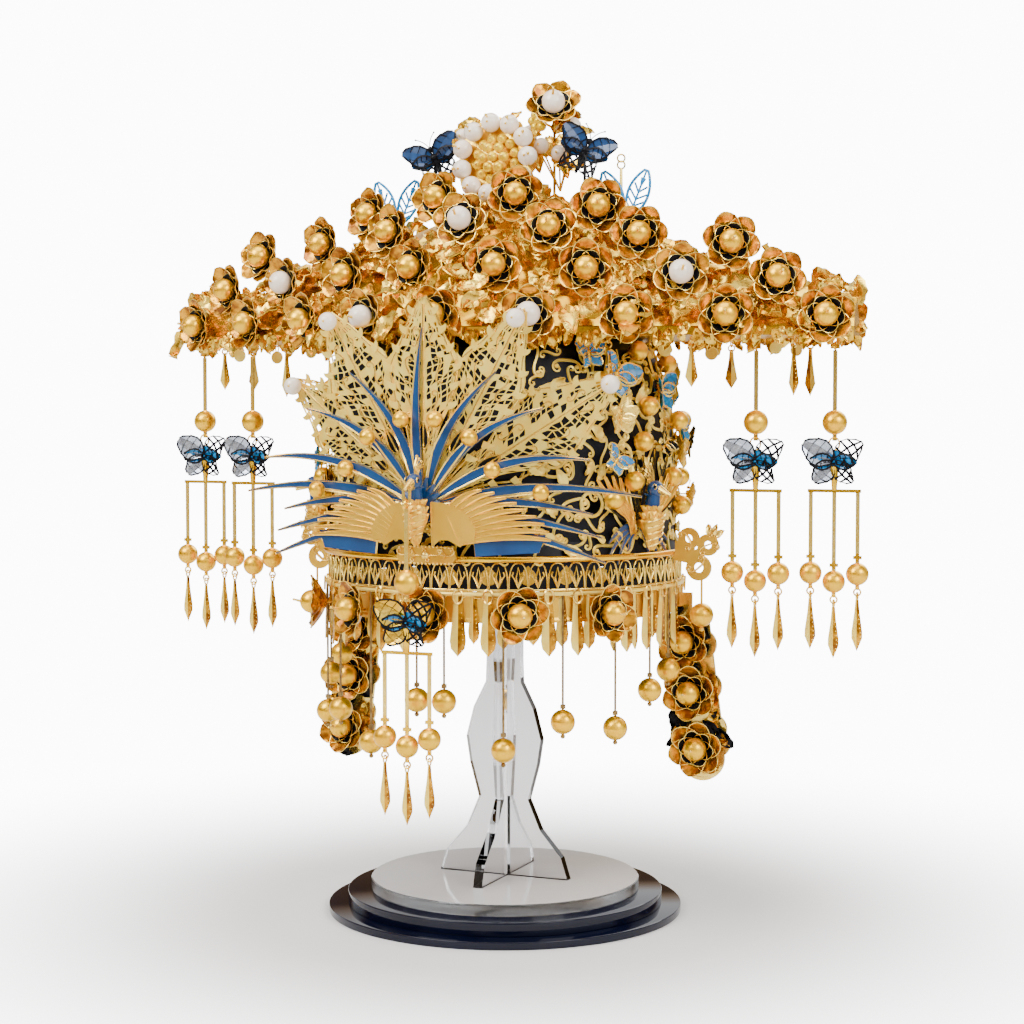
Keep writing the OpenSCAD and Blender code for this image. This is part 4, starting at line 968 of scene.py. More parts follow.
def butterflyTemplate(name, pierced=False):
    # looks: cells, veins, body
    bm = bmesh.new()
    span = insect["span"]
    for side in (1, -1):
        half = bmesh.new()
        wingLobe(half, (0.47, 0.26), 0.36, (0, 1), False)
        wingLobe(half, (0.4, 0.0), 0.24, (0, 1), False)
        wingLobe(half, (0.27, -0.34), 0.3, (0, 1), pierced)
        solidSheet(half, insect["sheet"])
        place = Matrix.Translation((side * 0.5 * mm, 0, 1.4 * mm)) @ Matrix.Rotation(math.radians(-side * insect["lift"]), 4, "Y")
        place = place @ Matrix.Diagonal((side, 1, 1, 1))
        bmesh.ops.transform(half, matrix=place, verts=half.verts)
        if side < 0:
            bmesh.ops.reverse_faces(half, faces=half.faces)
        wing = asTemplate(half, "wing")
        bm.from_mesh(wing)
        bpy.data.meshes.remove(wing)
    ball(bm, (0, 0.2 * span, 1.6), 0.055 * span, 12, 2)
    ball(bm, (0, 0.05 * span, 1.5), 0.075 * span, 12, 2)
    rod(bm, (0, 0, 1.5), (0, -0.34 * span, 1.1), 0.07 * span, 0.02 * span, 10, 2)
    feelers = [bendLine(Vector((0, 0.22 * span, 1.8)), Vector((s * 0.04 * span, 0.36 * span, 2.4)),
                        Vector((s * 0.16 * span, 0.43 * span, 3)), 6) for s in (-1, 1)]
    addWires(bm, [[spot for spot, way in line] for line in feelers], 0.22, look=1)
    for s in (-1, 1):
        ball(bm, (s * 0.16 * span, 0.43 * span, 3), 0.45, 8, 1)
    return asTemplate(bm, name)


solidButterfly = butterflyTemplate("butterflyTemplate")
piercedButterfly = butterflyTemplate("piercedButterflyTemplate", True)


def buildButterflies():
    kinds = [("butterflies_blue", ["sky", "rim", "polished"], "blue_enamel"),
             ("butterflies_gold", ["filigree", "rim", "polished"], "filigree_gilt")]
    for node, looks, slot in kinds:
        bm = bmesh.new()
        for spot, size in solids(node):
            azimuth = azimuthOf(spot)
            skin = roundThe(capRadius(spot.z) + 0.6 * mm, azimuth, spot.z) * mm
            stamp(bm, solidButterfly, facing(skin, compass(azimuth, 4), random.uniform(-24, 24)))
            rod(bm, skin / mm - compass(azimuth) * 0.8, skin / mm + compass(azimuth) * 1.5, 1.3)
        addPiece("fine_" + node, bm, looks, replaced=[node])
    bm = bmesh.new()
    for spot, size in solids("top_butterflies"):
        side = math.copysign(1, spot.x)
        low, high = spot - size / 2, spot + size / 2
        back = Vector((spot.x, -3 * mm, high.z - 9.5 * mm))
        stamp(bm, piercedButterfly, facing(back, compass(20, 10), -side * 24, 1.2))
        rod(bm, (spot.x / mm, -2.6, low.z / mm - 1), (spot.x / mm, -2.6, back.z / mm), 0.8, look=1)
    addPiece("fineTopButterflies", bm, ["blue", "black", "black"], replaced=["top_butterflies"])


buildCapScrolls()
buildLattice()
buildButterflies()
print("cap dressed")

# fan plates: lobed leaves pierced by slits, with a midrib, scrolls and a beaded edge
fan = {
    # side, degrees from upright, share of the length, degrees swept back, layers behind the middle plate
    "plates": [(-1, 57, 1, 20, 2), (-1, 29, 0.95, 0, 1), (1, 0, 0.9, 0, 0), (1, 29, 0.95, 0, 1), (1, 57, 1, 20, 2)],
    "length": 111,
    "width": 33,
    "start": 5.3,
    "sweptStart": 1.4,
    "layer": 98.8,
    "layerStep": 1.3,
    "plate": 0.6,
    "cells": (11, 30),
    "slit": 0.42,
    "open": 0.62,  # share of the cells that are cut through
    "uneven": 1.5,
    "edge": 0.5,
    "leaflets": 8,
}


def polar(turn, reach):
    return Vector((math.sin(math.radians(turn)) * reach, math.cos(math.radians(turn)) * reach))


def upright(layer, z=rootZ):
    # the frame of a plate that stands upright before the cap: its Y looks up, its Z to the front
    return Matrix.Translation((0, -layer * mm, z)) @ Matrix.Rotation(math.pi / 2, 4, "X")


def fanHalf(t):
    swell = max(0, math.sin(math.pi * t ** 1.25)) ** 1.1
    return 1.6 + (fan["width"] / 2 - 1.6) * swell * (1 + 0.09 * math.sin(math.radians(1260 * t)))


def fanTemplate(share, sweep):
    bm = bmesh.new()
    start = fan["start"] + (fan["sweptStart"] if sweep else 0)
    length = fan["length"] * share - start
    cells = fan["cells"]
    sheet = bmesh.ops.create_grid(bm, x_segments=cells[0], y_segments=cells[1], size=0.5)
    for v in sheet["verts"]:
        across, along = v.co.x * 2, v.co.y + 0.5
        arched = along + 0.16 * abs(across) * math.sin(math.pi * along) * (1 - along)
        v.co = Vector((across * fanHalf(along), start + length * arched, 0)) * mm
        if abs(across) < 0.99:
            v.co += noise.noise_vector(v.co * 300).xy.to_3d() * fan["uneven"] * mm
    faces = [face for face in bm.faces]
    bmesh.ops.inset_individual(bm, faces=faces, thickness=fan["slit"] * mm, depth=0)
    slits = []
    for face in faces:
        spot = face.calc_center_median() / mm
        along = (spot.y - start) / length
        across = abs(spot.x) / fanHalf(min(1, max(0, along)))
        inside = 0.12 < along < 0.96 and 0.1 < across < 0.97 and face.calc_area() > 0.3 * mm * mm
        if inside and random.random() < fan["open"]:
            slits.append(face)
    bmesh.ops.delete(bm, geom=slits, context="FACES_ONLY")
    for k in range(fan["leaflets"]):
        up = 0.26 + 0.66 * k / (fan["leaflets"] - 1)
        for side in (-1, 1):
            foot = Vector((side * (fanHalf(up) - 1.5), start + length * up))
            tip = foot + polar(side * (80 - 40 * up), 6.8 - 2.4 * up)
            horn(bm, foot, (foot + tip) / 2 + Vector((side * 1.4, -0.8)), tip, 3.4, 0.3, steps=4)
    solidSheet(bm, fan["plate"])
    bmesh.ops.translate(bm, verts=bm.verts, vec=(0, 0, fan["plate"] * mm))
    # a black sheet inside the plate, seen through the slits: painted shade that darkens the slits as if they lay deep
    # in shadow
    paintedShadeSheet = bmesh.ops.create_grid(bm, x_segments=2, y_segments=cells[1], size=0.5)
    for v in paintedShadeSheet["verts"]:
        across, along = v.co.x * 2, v.co.y + 0.5
        v.co = Vector((across * fanHalf(along) * 0.86, start + length * (0.04 + 0.88 * along), 0.2)) * mm
    for face in {face for v in paintedShadeSheet["verts"] for face in v.link_faces}:
        face.material_index = 2
    steps = 28
    edge = [Vector((fanHalf(i / steps), start + length * i / steps, 0.5)) for i in range(steps + 1)]
    rims = [edge, [Vector((-p.x, p.y, p.z)) for p in edge]]
    addWires(bm, rims, fan["edge"], look=1)
    addWires(bm, [[Vector((0, start, 0.7)), Vector((0, start + length * 0.96, 0.7))]], 0.5, look=1)
    scrolls = []
    for up, out, size in [(0.3, 0.34, 8), (0.46, 0.46, 11), (0.63, 0.46, 11), (0.8, 0.4, 8)]:
        for side in (-1, 1):
            place = Matrix.Translation((side * out * fanHalf(up), start + length * up, 0.75))
            place = place @ Matrix.Diagonal((side, 1, 1, 1)) @ Matrix.Rotation(math.radians(62), 4, "Z")
            scrolls.append([place @ p for p in scrollPath("S", size, 0.85, 14)])
    addWires(bm, scrolls, 0.42, taper=0.7, look=1)
    # the opening near the plate's foot is shaped like a pointed seed; a black face laid over it is painted shade for
    # its dark hollow
    seed = [Vector((math.sin(t) * 2.6 * (1 - 0.35 * math.cos(t)), start + length * 0.3 + math.cos(t) * 6.5, 0.85))
            for t in [2 * math.pi * i / 18 for i in range(18)]]
    addWires(bm, [seed], 0.5, True, look=1)
    disc = [bm.verts.new((p + Vector((0, 0, -0.1))) * mm) for p in seed]
    paintedShadeFace = bm.faces.new(disc)
    paintedShadeFace.material_index = 2
    return asTemplate(bm, "fanTemplate")


def swept(side, layer, angle):
    # the frame of an upright plate at one side, turned backwards about the fan's root
    hub, back = phoenix["hub"] * mm, phoenix["bladeLayer"] * mm
    turned = Matrix.Translation((hub, -back, 0)) @ Matrix.Rotation(math.radians(angle), 4, "Z")
    return Matrix.Diagonal((side, 1, 1, 1)) @ turned @ Matrix.Translation((-hub, back, 0)) @ upright(layer)


def buildFan():
    random.seed(14)
    for k, (side, turn, share, sweep, behind) in enumerate(fan["plates"]):
        bm = bmesh.new()
        place = swept(side, fan["layer"] - behind * fan["layerStep"], sweep)
        stamp(bm, fanTemplate(share, sweep), place @ Matrix.Rotation(math.radians(-turn), 4, "Z"))
        node = "fan_plate_" + str(k + 1)
        addPiece("fine_" + node, bm, ["filigree", "rim", "black"], replaced=[node], sharp=50)


# phoenix: blue blades with bright outlines, comb wings, and the bird before them
phoenix = {
    "bladeLayer": 100.4,
    "bladeThick": 1.2,
    "bladeLength": 106,
    "bladeWidth": 5.6,
    "hub": 5,
    "boss": 8,
    "sweep": 10,
    "centreBlades": [(0, 0.8, 0.04), (31, 0.7, 0.1), (-31, 0.7, -0.1), (53, 0.73, 0.12), (-53, 0.73, -0.12),
                     (75, 0.83, 0.1), (-75, 0.83, -0.1)],
    "sideBlades": [(87, 1, 0.06), (92, 0.78, 0.05), (99, 0.83, 0.03), (106, 0.87, 0.02)],
    "centreStalks": [(-12, 0.4), (12, 0.4), (-39, 0.4), (39, 0.4), (-65, 0.4), (65, 0.4)],
    "sideStalks": [(83, 0.56)],
    "quad": [(0.24, -0.13), (0.57, -0.12), (0.54, -0.2), (0.25, -0.22)],
    "wingLayer": 102.42,
    "wingReach": 63,
    "fingers": 9,
    "fingerStart": [(0.2, -0.05), (0.3, -0.26)],
    "fingerTips": [(0.47, 0.13), (0.57, 0.11), (0.66, 0.075), (0.74, 0.035), (0.82, -0.015), (0.89, -0.065),
                   (0.95, -0.12), (0.985, -0.18), (1, -0.24)],
    "fingerBow": (-0.03, 0.06),
    "panel": [(0.09, -0.3), (0.15, -0.25), (0.22, -0.25), (0.31, -0.3), (0.36, -0.25), (0.42, -0.27), (0.43, -0.16),
              (0.37, -0.06), (0.28, 0), (0.18, 0.03), (0.09, 0.04)],
    "ruff": [(-78, 10), (-56, 12), (-34, 13.5), (-12, 14.5), (12, 14.5), (34, 13.5), (56, 12), (78, 10)],
}


def blade(bm, turn, length, bend):
    reach = phoenix["bladeLength"] * length
    tip = polar(turn, reach)
    bow = polar(turn - 90, reach * bend * 2)
    horn(bm, polar(turn, phoenix["hub"]), tip / 2 + bow, tip, phoenix["bladeWidth"], 0.6, 0.25, 0.2, steps=16, root=0.5)


def addLayer(bm, fill, thickness, place):
    # a sheet drawn by fill, made solid and put in place
    sheet = bmesh.new()
    fill(sheet)
    solidSheet(sheet, thickness)
    stamp(bm, asTemplate(sheet, "layer"), place)


def addFlat(bm, corners, look=0, rim=0.0, rimLook=1, up=0.0):
    face = bm.faces.new([bm.verts.new(Vector((*c, up)) * mm) for c in corners])
    face.material_index = look
    if rim:
        edge = bmesh.ops.inset_region(bm, faces=[face], thickness=rim * mm, use_boundary=True, use_even_offset=True)
        for f in edge["faces"]:
            f.material_index = rimLook


def buildBlades():
    bm = bmesh.new()
    layer, reach = phoenix["bladeLayer"], phoenix["bladeLength"]

    def centre(sheet):
        for each in phoenix["centreBlades"]:
            blade(sheet, *each)

    def wide(sheet):
        for each in phoenix["sideBlades"]:
            blade(sheet, *each)
        addFlat(sheet, [(x * reach, y * reach) for x, y in phoenix["quad"]], 0, 0.4)

    addLayer(bm, centre, 0.7, upright(layer + 0.7))
    for side in (-1, 1):
        addLayer(bm, wide, 0.7, swept(side, layer + 0.7, phoenix["sweep"]))
    rod(bm, (0, -layer, rootZ / mm), (0, -layer - 1.2, rootZ / mm), phoenix["boss"], sides=40)

    def ruff(sheet):
        for turn, long in phoenix["ruff"]:
            horn(sheet, polar(turn, 2), polar(turn * 0.86, long * 0.6), polar(turn, long), 4.6, 0.8, 0.7, 0.25, steps=6)

    addLayer(bm, ruff, 0.5, upright(layer + 1.9))
    places = [(stalk, upright(layer)) for stalk in phoenix["centreStalks"]]
    places += [(stalk, swept(side, layer, phoenix["sweep"])) for stalk in phoenix["sideStalks"] for side in (-1, 1)]
    for (turn, length), place in places:
        foot, tip = [(place @ (Vector((*polar(turn, r), 0.6)) * mm)) / mm for r in (phoenix["hub"], reach * length)]
        rod(bm, foot, tip, 0.55, look=1)
        out = (place.to_3x3() @ Vector((0, 0, 1))) * 0.6
        rod(bm, tip - out, tip + out, 1.9, sides=16, look=1)
    addPiece("fineBlades", bm, ["blue", "rim"], replaced=["phoenix_blades"])


def buildWings():
    reach = phoenix["wingReach"]
    count = phoenix["fingers"]

    def comb(sheet):
        addFlat(sheet, [(x * reach, y * reach) for x, y in phoenix["panel"]], 0, 0.5, 1, 0.7)
        (x0, y0), (x1, y1) = phoenix["fingerStart"]
        for k, tip in enumerate(phoenix["fingerTips"]):
            t = k / (count - 1)
            start = Vector((x0 + (x1 - x0) * t, y0 + (y1 - y0) * t)) * reach
            end = Vector(tip) * reach
            bend = (start + end) / 2 + Vector(phoenix["fingerBow"]) * reach
            horn(sheet, start, bend, end, 3.7, 0.8, 0.2, 0.22)

    for side, node in [(-1, "phoenix_wing_left"), (1, "phoenix_wing_right")]:
        bm = bmesh.new()
        addLayer(bm, comb, 0.75, swept(side, phoenix["wingLayer"] + 0.75, phoenix["sweep"]))
        addPiece("fine_" + node, bm, ["satin", "rim"], replaced=[node])


def birdTemplate(name):
    # breast, neck, head, beak and crest of a bird facing -Y; looks: gilt, blue, bright gilt, black
    bm = bmesh.new()
    outline = [(0, -12), (2, -10), (4.8, -4), (6, 0), (5.1, 4), (3.6, 9), (0, 12)]
    corners = [bm.verts.new((x * mm, 0, z * mm)) for x, z in outline]
    edges = [bm.edges.new(pair) for pair in zip(corners, corners[1:])]
    bmesh.ops.spin(bm, geom=corners + edges, cent=(0, 0, 0), axis=(0, 0, 1), angle=2 * math.pi, steps=20, use_merge=True)
    rod(bm, (0, 0, 6), (0, -1.5, 16.5), 3.9, 2.8, 16, 1)
    ball(bm, (0, -2, 17), 4, 20, 1)
    rod(bm, (0, -4, 17), (0, -11.4, 14), 2.4, 0.8, 12, 2)
    for side in (-1, 1):
        ball(bm, (side * 2.9, -4.2, 18), 0.8, 10, 3)
        addWires(bm, [[p + Vector((side * 3.1, -4.2, 18)) for p in
                       [Vector((0, v.x, v.y)) for v in ringPath(1.2, 12)]]], 0.25, True, look=2)
    # overlapping feathers round the breast, and rings of them round the neck
    for row in range(6):
        z = 9 - 3.4 * row
        radius = 3.4 + 2.6 * math.sin(math.pi * min(1, (row + 1) / 5.5)) - 0.2 * row
        count = 9 if row % 2 else 10
        for k in range(count):
            azimuth = 360 * (k + 0.5 * (row % 2)) / count
            foot = compass(azimuth) * radius * mm + Vector((0, 0, z * mm))
            place = facing(foot, compass(azimuth, -12), 180) @ Matrix.Rotation(math.radians(-12), 4, "X")
            stamp(bm, featherMesh, place)
    for row in range(3):
        for k in range(7):
            azimuth = 360 * (k + 0.5 * (row % 2)) / 7
            foot = compass(azimuth) * (2.8 + 0.4 * (2 - row)) * mm + Vector((0, 0, (15 - 3.4 * row) * mm))
            place = facing(foot, compass(azimuth, -30), 180) @ Matrix.Rotation(math.radians(-26), 4, "X")
            stamp(bm, neckFeatherMesh, place @ Matrix.Scale(0.8, 4))
    swirls = []
    for k in range(5):
        turns = [math.radians(-70 + 140 * i / 10) for i in range(11)]
        swirls.append([Vector((math.sin(t) * (6.3 - 0.35 * k), -math.cos(t) * (6.3 - 0.35 * k),
                               3 - 3 * k + 2.2 * math.sin(t))) for t in turns])
    addWires(bm, swirls, 0.45, taper=0.6, look=2)
    for k in range(5):
        start = Vector((0, -1 + 0.9 * k, 19.5))
        end = start + Vector((0, 2.2 + 1.6 * k, 9.5 - 1.3 * k))
        line = [spot for spot, way in bendLine(start, start + Vector((0, -0.6, 5)), end, 8)]
        addWires(bm, [line], 0.5, taper=0.6, look=2)
        ball(bm, end, 0.8, 8, 2)
    return asTemplate(bm, name)


def featherTemplate(name, look=0):
    bm = bmesh.new()
    sheet = bmesh.ops.create_grid(bm, x_segments=4, y_segments=5, size=0.5)
    for v in sheet["verts"]:
        across, along = v.co.x * 2, v.co.y + 0.5
        half = 1.9 * math.sin(math.pi * (0.16 + 0.68 * along))
        v.co = Vector((across * half, along * 5.2, 0.5 - 0.35 * across * across + 0.25 * math.cos(across * 7))) * mm
    for face in bm.faces:
        face.material_index = look
    solidSheet(bm, 0.3)
    return asTemplate(bm, name)


featherMesh = featherTemplate("featherTemplate")
neckFeatherMesh = featherTemplate("neckFeatherTemplate", 1)
birdMesh = birdTemplate("birdTemplate")


def buildPhoenix():
    bm = bmesh.new()
    low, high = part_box("phoenix_body")
    place = Matrix.Translation((0, -0.108, rootZ - 5 * mm))
    stamp(bm, birdMesh, place)
    hook = Vector(frame["joints"][[j["name"] for j in frame["joints"]].index("swing_front")]["pos_m"])
    rod(bm, (hook.x / mm - 2.6, hook.y / mm, hook.z / mm), (hook.x / mm + 2.6, hook.y / mm, hook.z / mm), 0.7, look=2)
    for side in (-1, 1):
        x = hook.x / mm + side * 1.6
        rod(bm, (x, hook.y / mm, hook.z / mm - 1), (x, hook.y / mm, hook.z / mm + 7), 0.75, look=2)
        rod(bm, (x, hook.y / mm, hook.z / mm + 6.3), (x * 0.6, hook.y / mm + 8, hook.z / mm + 8), 0.8, look=2)
    addPiece("finePhoenix", bm, ["satin", "blue", "rim", "black"], replaced=["phoenix_body"])


# plaque: an ornate oblong with scrolled ends on the rail
def buildPlaque():
    bm = bmesh.new()
    low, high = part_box("phoenix_plaque")
    middle = (low + high) / 2 / mm
    front = low.y / mm
    paths = []
    for x, size, kind in [(-11, 8, "C"), (11, 8, "C"), (-4, 8, "S"), (4, 8, "S")]:
        paths.append([Vector((middle.x + x + p.x, front + 0.2, middle.z + p.y)) for p in scrollPath(kind, size, 0.9)])
    addWires(bm, paths, 0.45, taper=0.7)
    for k in range(15):
        for up in (-1, 1):
            ball(bm, (middle.x - 14 + 2 * k, front + 0.7, middle.z + up * (4.1 - 0.006 * (k - 7) ** 2)), 0.7, 8)
    ball(bm, (middle.x, front + 0.2, middle.z), 2.2, 16, 0, 1)
    addPiece("plaqueRelief", bm, ["rim"], sharp=60)


buildFan()
buildBlades()
buildWings()
buildPhoenix()
buildPlaque()
print("phoenix made")

# side phoenixes: the same bird with raised wings and blue tail plumes
sideBird = {
    "turn": 70,
    "lift": 16,
    "out": 10,  # from the cap's skin to the middle of the breast
    "pinions": 5,
    "pinionLength": 33,
    "pinionWidth": 4,
    "shoulder": (16, 10),
    "plumes": [(112, 24), (126, 28), (141, 25), (156, 20)],
    "quills": [(66, 30), (50, 36), (34, 39), (18, 38), (4, 33)],
}


def sideFrame(azimuth, radius, z):
    # local X along the cap's skin, -Y outwards
    return Matrix.Rotation(math.radians(azimuth), 4, "Z") @ Matrix.Translation((0, -radius, z))


def buildSideBirds():
    bm = bmesh.new()
    z = capLow.z + sideBird["lift"] * mm
    radius = capRadius(z) + 0.3 * mm
    wide, tall = sideBird["shoulder"]

    def pinions(sheet):
        for k in range(sideBird["pinions"]):
            root = Vector((wide / 3, tall / 3 - tall * 0.2 * k))
            long = sideBird["pinionLength"] * (1 - 0.06 * k)
            bend, tip = root + polar(76 - 15 * k, long * 0.45), root + polar(56 - 11 * k, long)
            horn(sheet, root, bend, tip, sideBird["pinionWidth"], 0.8, 0.3, 0.4, 0, 2)

    def quills(sheet):
        for turn, long in sideBird["quills"]:
            horn(sheet, polar(turn, 3), polar(turn + 14, long * 0.5), polar(turn, long), 3.4, 0.4, 0.2, 0.5, 3, 2)

    def plumes(sheet):
        for turn, long in sideBird["plumes"]:
            horn(sheet, (2, -2), polar(turn - 24, long * 0.5), polar(turn, long), 3, 0.6, 0.3, 0.3, 1, 2)

    for side in (-1, 1):
        frameHere = sideFrame(side * sideBird["turn"], radius, z)
        stamp(bm, birdMesh, frameHere @ Matrix.Translation((0, -sideBird["out"] * mm, 0)))
        rod(bm, (frameHere @ Vector((0, 0.6 * mm, 0))) / mm, (frameHere @ Vector((0, -5 * mm, 0))) / mm, 2.4)
        for flip in (-1, 1):
            flat = frameHere @ Matrix.Diagonal((flip, 1, 1, 1)) @ Matrix.Rotation(math.pi / 2, 4, "X")
            addLayer(bm, pinions, 0.7, flat @ Matrix.Translation((0, 0, 2.9 * mm)))
            addLayer(bm, plumes, 0.5, flat @ Matrix.Translation((0, 0, 1.6 * mm)))
            addLayer(bm, quills, 0.5, flat @ Matrix.Translation((0, 0, 2.2 * mm)))
    addPiece("fineSideBirds", bm, ["satin", "blue", "rim", "black"], replaced=["side_phoenixes"])


# cloud scrolls: spirals laid over the lobes at both faces
def buildScrolls():
    bm = bmesh.new()
    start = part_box("rail_ring")[1].x / mm + 0.3
    spirals = [((12.25, -7.25), 11, 40), ((17, 4.25), 10, 200), ((7, 7.25), 10, 120)]
    for side in (-1, 1):
        for (x, y), size, spin in spirals:
            turned = Matrix.Rotation(math.radians(spin), 3, "Z")
            for face in (-1, 1):
                path = [turned @ p for p in scrollPath("C", size, 1.1)]
                wire = [Vector((side * (start + x + p.x), -4 + face * 0.9, capLow.z / mm + y + p.y)) for p in path]
                addWires(bm, [wire], 0.45, taper=0.7)
                ball(bm, wire[0], 0.9, 8)
        leafSpot = Vector((side * (start + 19) * mm, -4 * mm, capLow.z + 8 * mm))
        for k in range(3):
            place = facing(leafSpot, (0, -1, 0)) @ Matrix.Rotation(math.radians(side * (20 - 40 * k)), 4, "Z")
            stamp(bm, leafMeshes[k], place @ Matrix.Scale(0.7, 4))
    addPiece("scrollWires", bm, ["rim"], sharp=60)


# medallion: a ring of pinned pearls round small amber beads on a lobed plate
medallion = {"centre": (0, -9, 388), "tilt": 6, "plate": 21, "heart": 12, "small": 2.7, "pin": 1.1}


def buildMedallion():
    random.seed(8)
    bm = bmesh.new()
    centre = Vector(medallion["centre"]) * mm
    place = facing(centre, compass(0, medallion["tilt"]))
    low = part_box("medallion")[0]
    petals = 12
    plate = bmesh.new()
    bmesh.ops.create_circle(plate, cap_ends=True, segments=petals * 6, radius=medallion["plate"] * mm)
    for v in plate.verts:
        turn = math.atan2(v.co.y, v.co.x)
        v.co *= 1 + 0.07 * math.cos(petals * turn)
    plate.verts.ensure_lookup_table()
    solidSheet(plate, 1.2)
    stamp(bm, asTemplate(plate, "plate"), place)
    rod(bm, (0, -5, low.z / mm), (0, -5, medallion["centre"][2]), 1.4)
    rings = [(0, 1), (5.6, 6), (10.6, 12)]
    for reach, count in rings:
        for k in range(count):
            turn = 2 * math.pi * (k + 0.5 * (count == 12)) / count
            up = 8 - 0.05 * reach * reach
            spot = place @ (Vector((math.cos(turn) * reach, math.sin(turn) * reach, up)) * mm)
            ball(bm, spot / mm, medallion["small"], 14, 3)
            ball(bm, (spot + (place.to_3x3() @ Vector((0, 0, 1))) * 2.7 * mm) / mm, 0.7, 8, 2)
    rod(bm, (place @ Vector((0, 0, 0))) / mm, (place @ (Vector((0, 0, 6)) * mm)) / mm, 9, 6, 20)
    for spot, size in solids("medallion_pearls"):
        out = (spot - place @ (Vector((0, 0, 4)) * mm)).normalized()
        way = (out * 0.45 + place.to_3x3() @ Vector((0, 0, 1))).normalized()
        tip = spot + way * 5.2 * mm
        rod(bm, (spot + way * 4.6 * mm) / mm, (tip + way * 1.2 * mm) / mm, 0.6, 0.4, look=2)
        ball(bm, (tip + way * 1.3 * mm) / mm, 0.85, 8, 2)
        stamp(bm, random.choice(leafMeshes), facing(spot + out * 2 * mm, way, random.uniform(0, 360), 0.8))
    # a cluster of small beads and a leaf beside the top flower
    top = solids("top_pearl")[0][0]
    for k in range(6):
        turn = math.radians(60 * k)
        reach = 3.4 if k else 0
        spot = top / mm + Vector((-9 + math.cos(turn) * reach, 2, -9 + math.sin(turn) * reach))
        ball(bm, spot, 2.5, 12, 3)
    rod(bm, (top.x / mm, 3, top.z / mm - 14), (top.x / mm - 9, 3, top.z / mm - 9), 0.7)
    for k in range(3):
        way = compass(-20 + 40 * k, 30)
        stamp(bm, leafMeshes[k], facing(top + Vector((6 - 4 * k, 3, -6)) * mm, way, 150 + 60 * k, 1.1))
    addPiece("fineMedallion", bm, ["leaf", "amber", "rim", "lemon"], replaced=["medallion"])


# kites: folded leaf plates with a dotted line, one half of the fold in painted light and the other in painted shade,
# for the fringe, the brim and the pendants
kite = {"fold": 0.55, "sheet": 0.4, "dots": 8, "dot": 0.32}


def addKite(bm, place, profile, width, length, looks=(0, 1), dotLook=2, cells=8):
    # hangs from the origin of place towards -Y, its face towards +Z
    sheet = bmesh.new()
    grid = bmesh.ops.create_grid(sheet, x_segments=2, y_segments=cells, size=0.5)
    for v in grid["verts"]:
        across, down = v.co.x * 2, 0.5 - v.co.y
        half = profile[-1][0]
        for (out0, down0), (out1, down1) in zip(profile, profile[1:]):
            if down0 <= down <= down1:
                half = out0 + (out1 - out0) * (down - down0) / (down1 - down0)
                break
        v.co = Vector((across * half * width / 2, -down * length, kite["fold"] * (1 - abs(across)))) * mm
    # the half of the fold towards -X takes the first look and the other half the second, a light and a dark gilt:
    # painted light and shade across the fold
    for face in sheet.faces:
        face.material_index = looks[0] if face.calc_center_median().x < 0 else looks[1]
    solidSheet(sheet, kite["sheet"])
    stamp(bm, asTemplate(sheet, "kite"), place)
    for k in range(kite["dots"]):
        down = 0.3 + 0.6 * k / (kite["dots"] - 1)
        half = profile[-1][0]
        for (out0, down0), (out1, down1) in zip(profile, profile[1:]):
            if down0 <= down <= down1:
                half = out0 + (out1 - out0) * (down - down0) / (down1 - down0)
        spot = place @ (Vector((half * width / 2 * 0.62, -down * length, kite["fold"] * 0.5)) * mm)
        ball(bm, spot / mm, kite["dot"], 6, dotLook)


fringe = {
    "places": 40,
    "taken": [0, 3, -3, 6, -6, 11, -11],
    "radius": 92.3,
    "z": 172,
    "width": 8.5,
    "length": 30,
    "profile": [(0.44, 0), (0.6, 0.3), (1, 0.84), (0.02, 1)],
    "wire": 1,
    "rod": 0.6,
    "knob": 2.0,
}


def ringAt(place, radius, tall=1.0, count=14):
    return [(place @ (p * mm)) / mm for p in ringPath(radius, count, tall=tall)]


def buildFringe():
    random.seed(4)
    bm = bmesh.new()
    radius, z = fringe["radius"], fringe["z"]
    circle = [compass(3 * k) * radius + Vector((0, 0, z)) for k in range(120)]
    addWires(bm, [circle], fringe["wire"], True)
    loops = []
    for k in range(1 - fringe["places"] // 2, fringe["places"] // 2 + 1):
        if k in fringe["taken"]:
            continue
        azimuth = 360 * k / fringe["places"]
        way = compass(azimuth, random.uniform(-3, 3))
        place = facing(compass(azimuth) * radius * mm + Vector((0, 0, z * mm)), way)
        turned = place @ Matrix.Rotation(math.radians(random.uniform(-14, 14)), 4, "Y")
        addKite(bm, turned, fringe["profile"], fringe["width"], fringe["length"])
        loops.append(ringAt(place @ Matrix.Translation((0, -1.2 * mm, 1.2 * mm)), 2.3, 1.5))
    for k in range(fringe["places"]):
        azimuth = 360 * (k + 0.5) / fringe["places"]
        if abs(azimuth - 180) > 168:
            continue
        place = facing(compass(azimuth) * (radius - 1.4) * mm + Vector((0, 0, (z - 1) * mm)), compass(azimuth))
        turned = place @ Matrix.Rotation(math.radians(random.uniform(-24, 24)), 4, "Y")
        addKite(bm, turned, fringe["profile"], fringe["width"] * 0.8, fringe["length"] * random.uniform(0.72, 0.95))
    addWires(bm, loops, 0.5, True, look=2)
    for spot, size in solids("drop_beads"):
        low = spot / mm - Vector((0, 0, 7))
        rod(bm, low, (spot.x / mm, spot.y / mm, z), fringe["rod"], look=3)
        ball(bm, low, 1.2, 10, 3)
        cube = bmesh.ops.create_cube(bm, size=fringe["knob"] * mm, matrix=Matrix.Translation(spot + Vector((0, 0, 7.4 * mm))))
        for face in {face for v in cube["verts"] for face in v.link_faces}:
            face.material_index = 3
    addPiece("fineFringe", bm, ["filigree", "petal", "rim", "steel"], replaced=["band_fringe"])


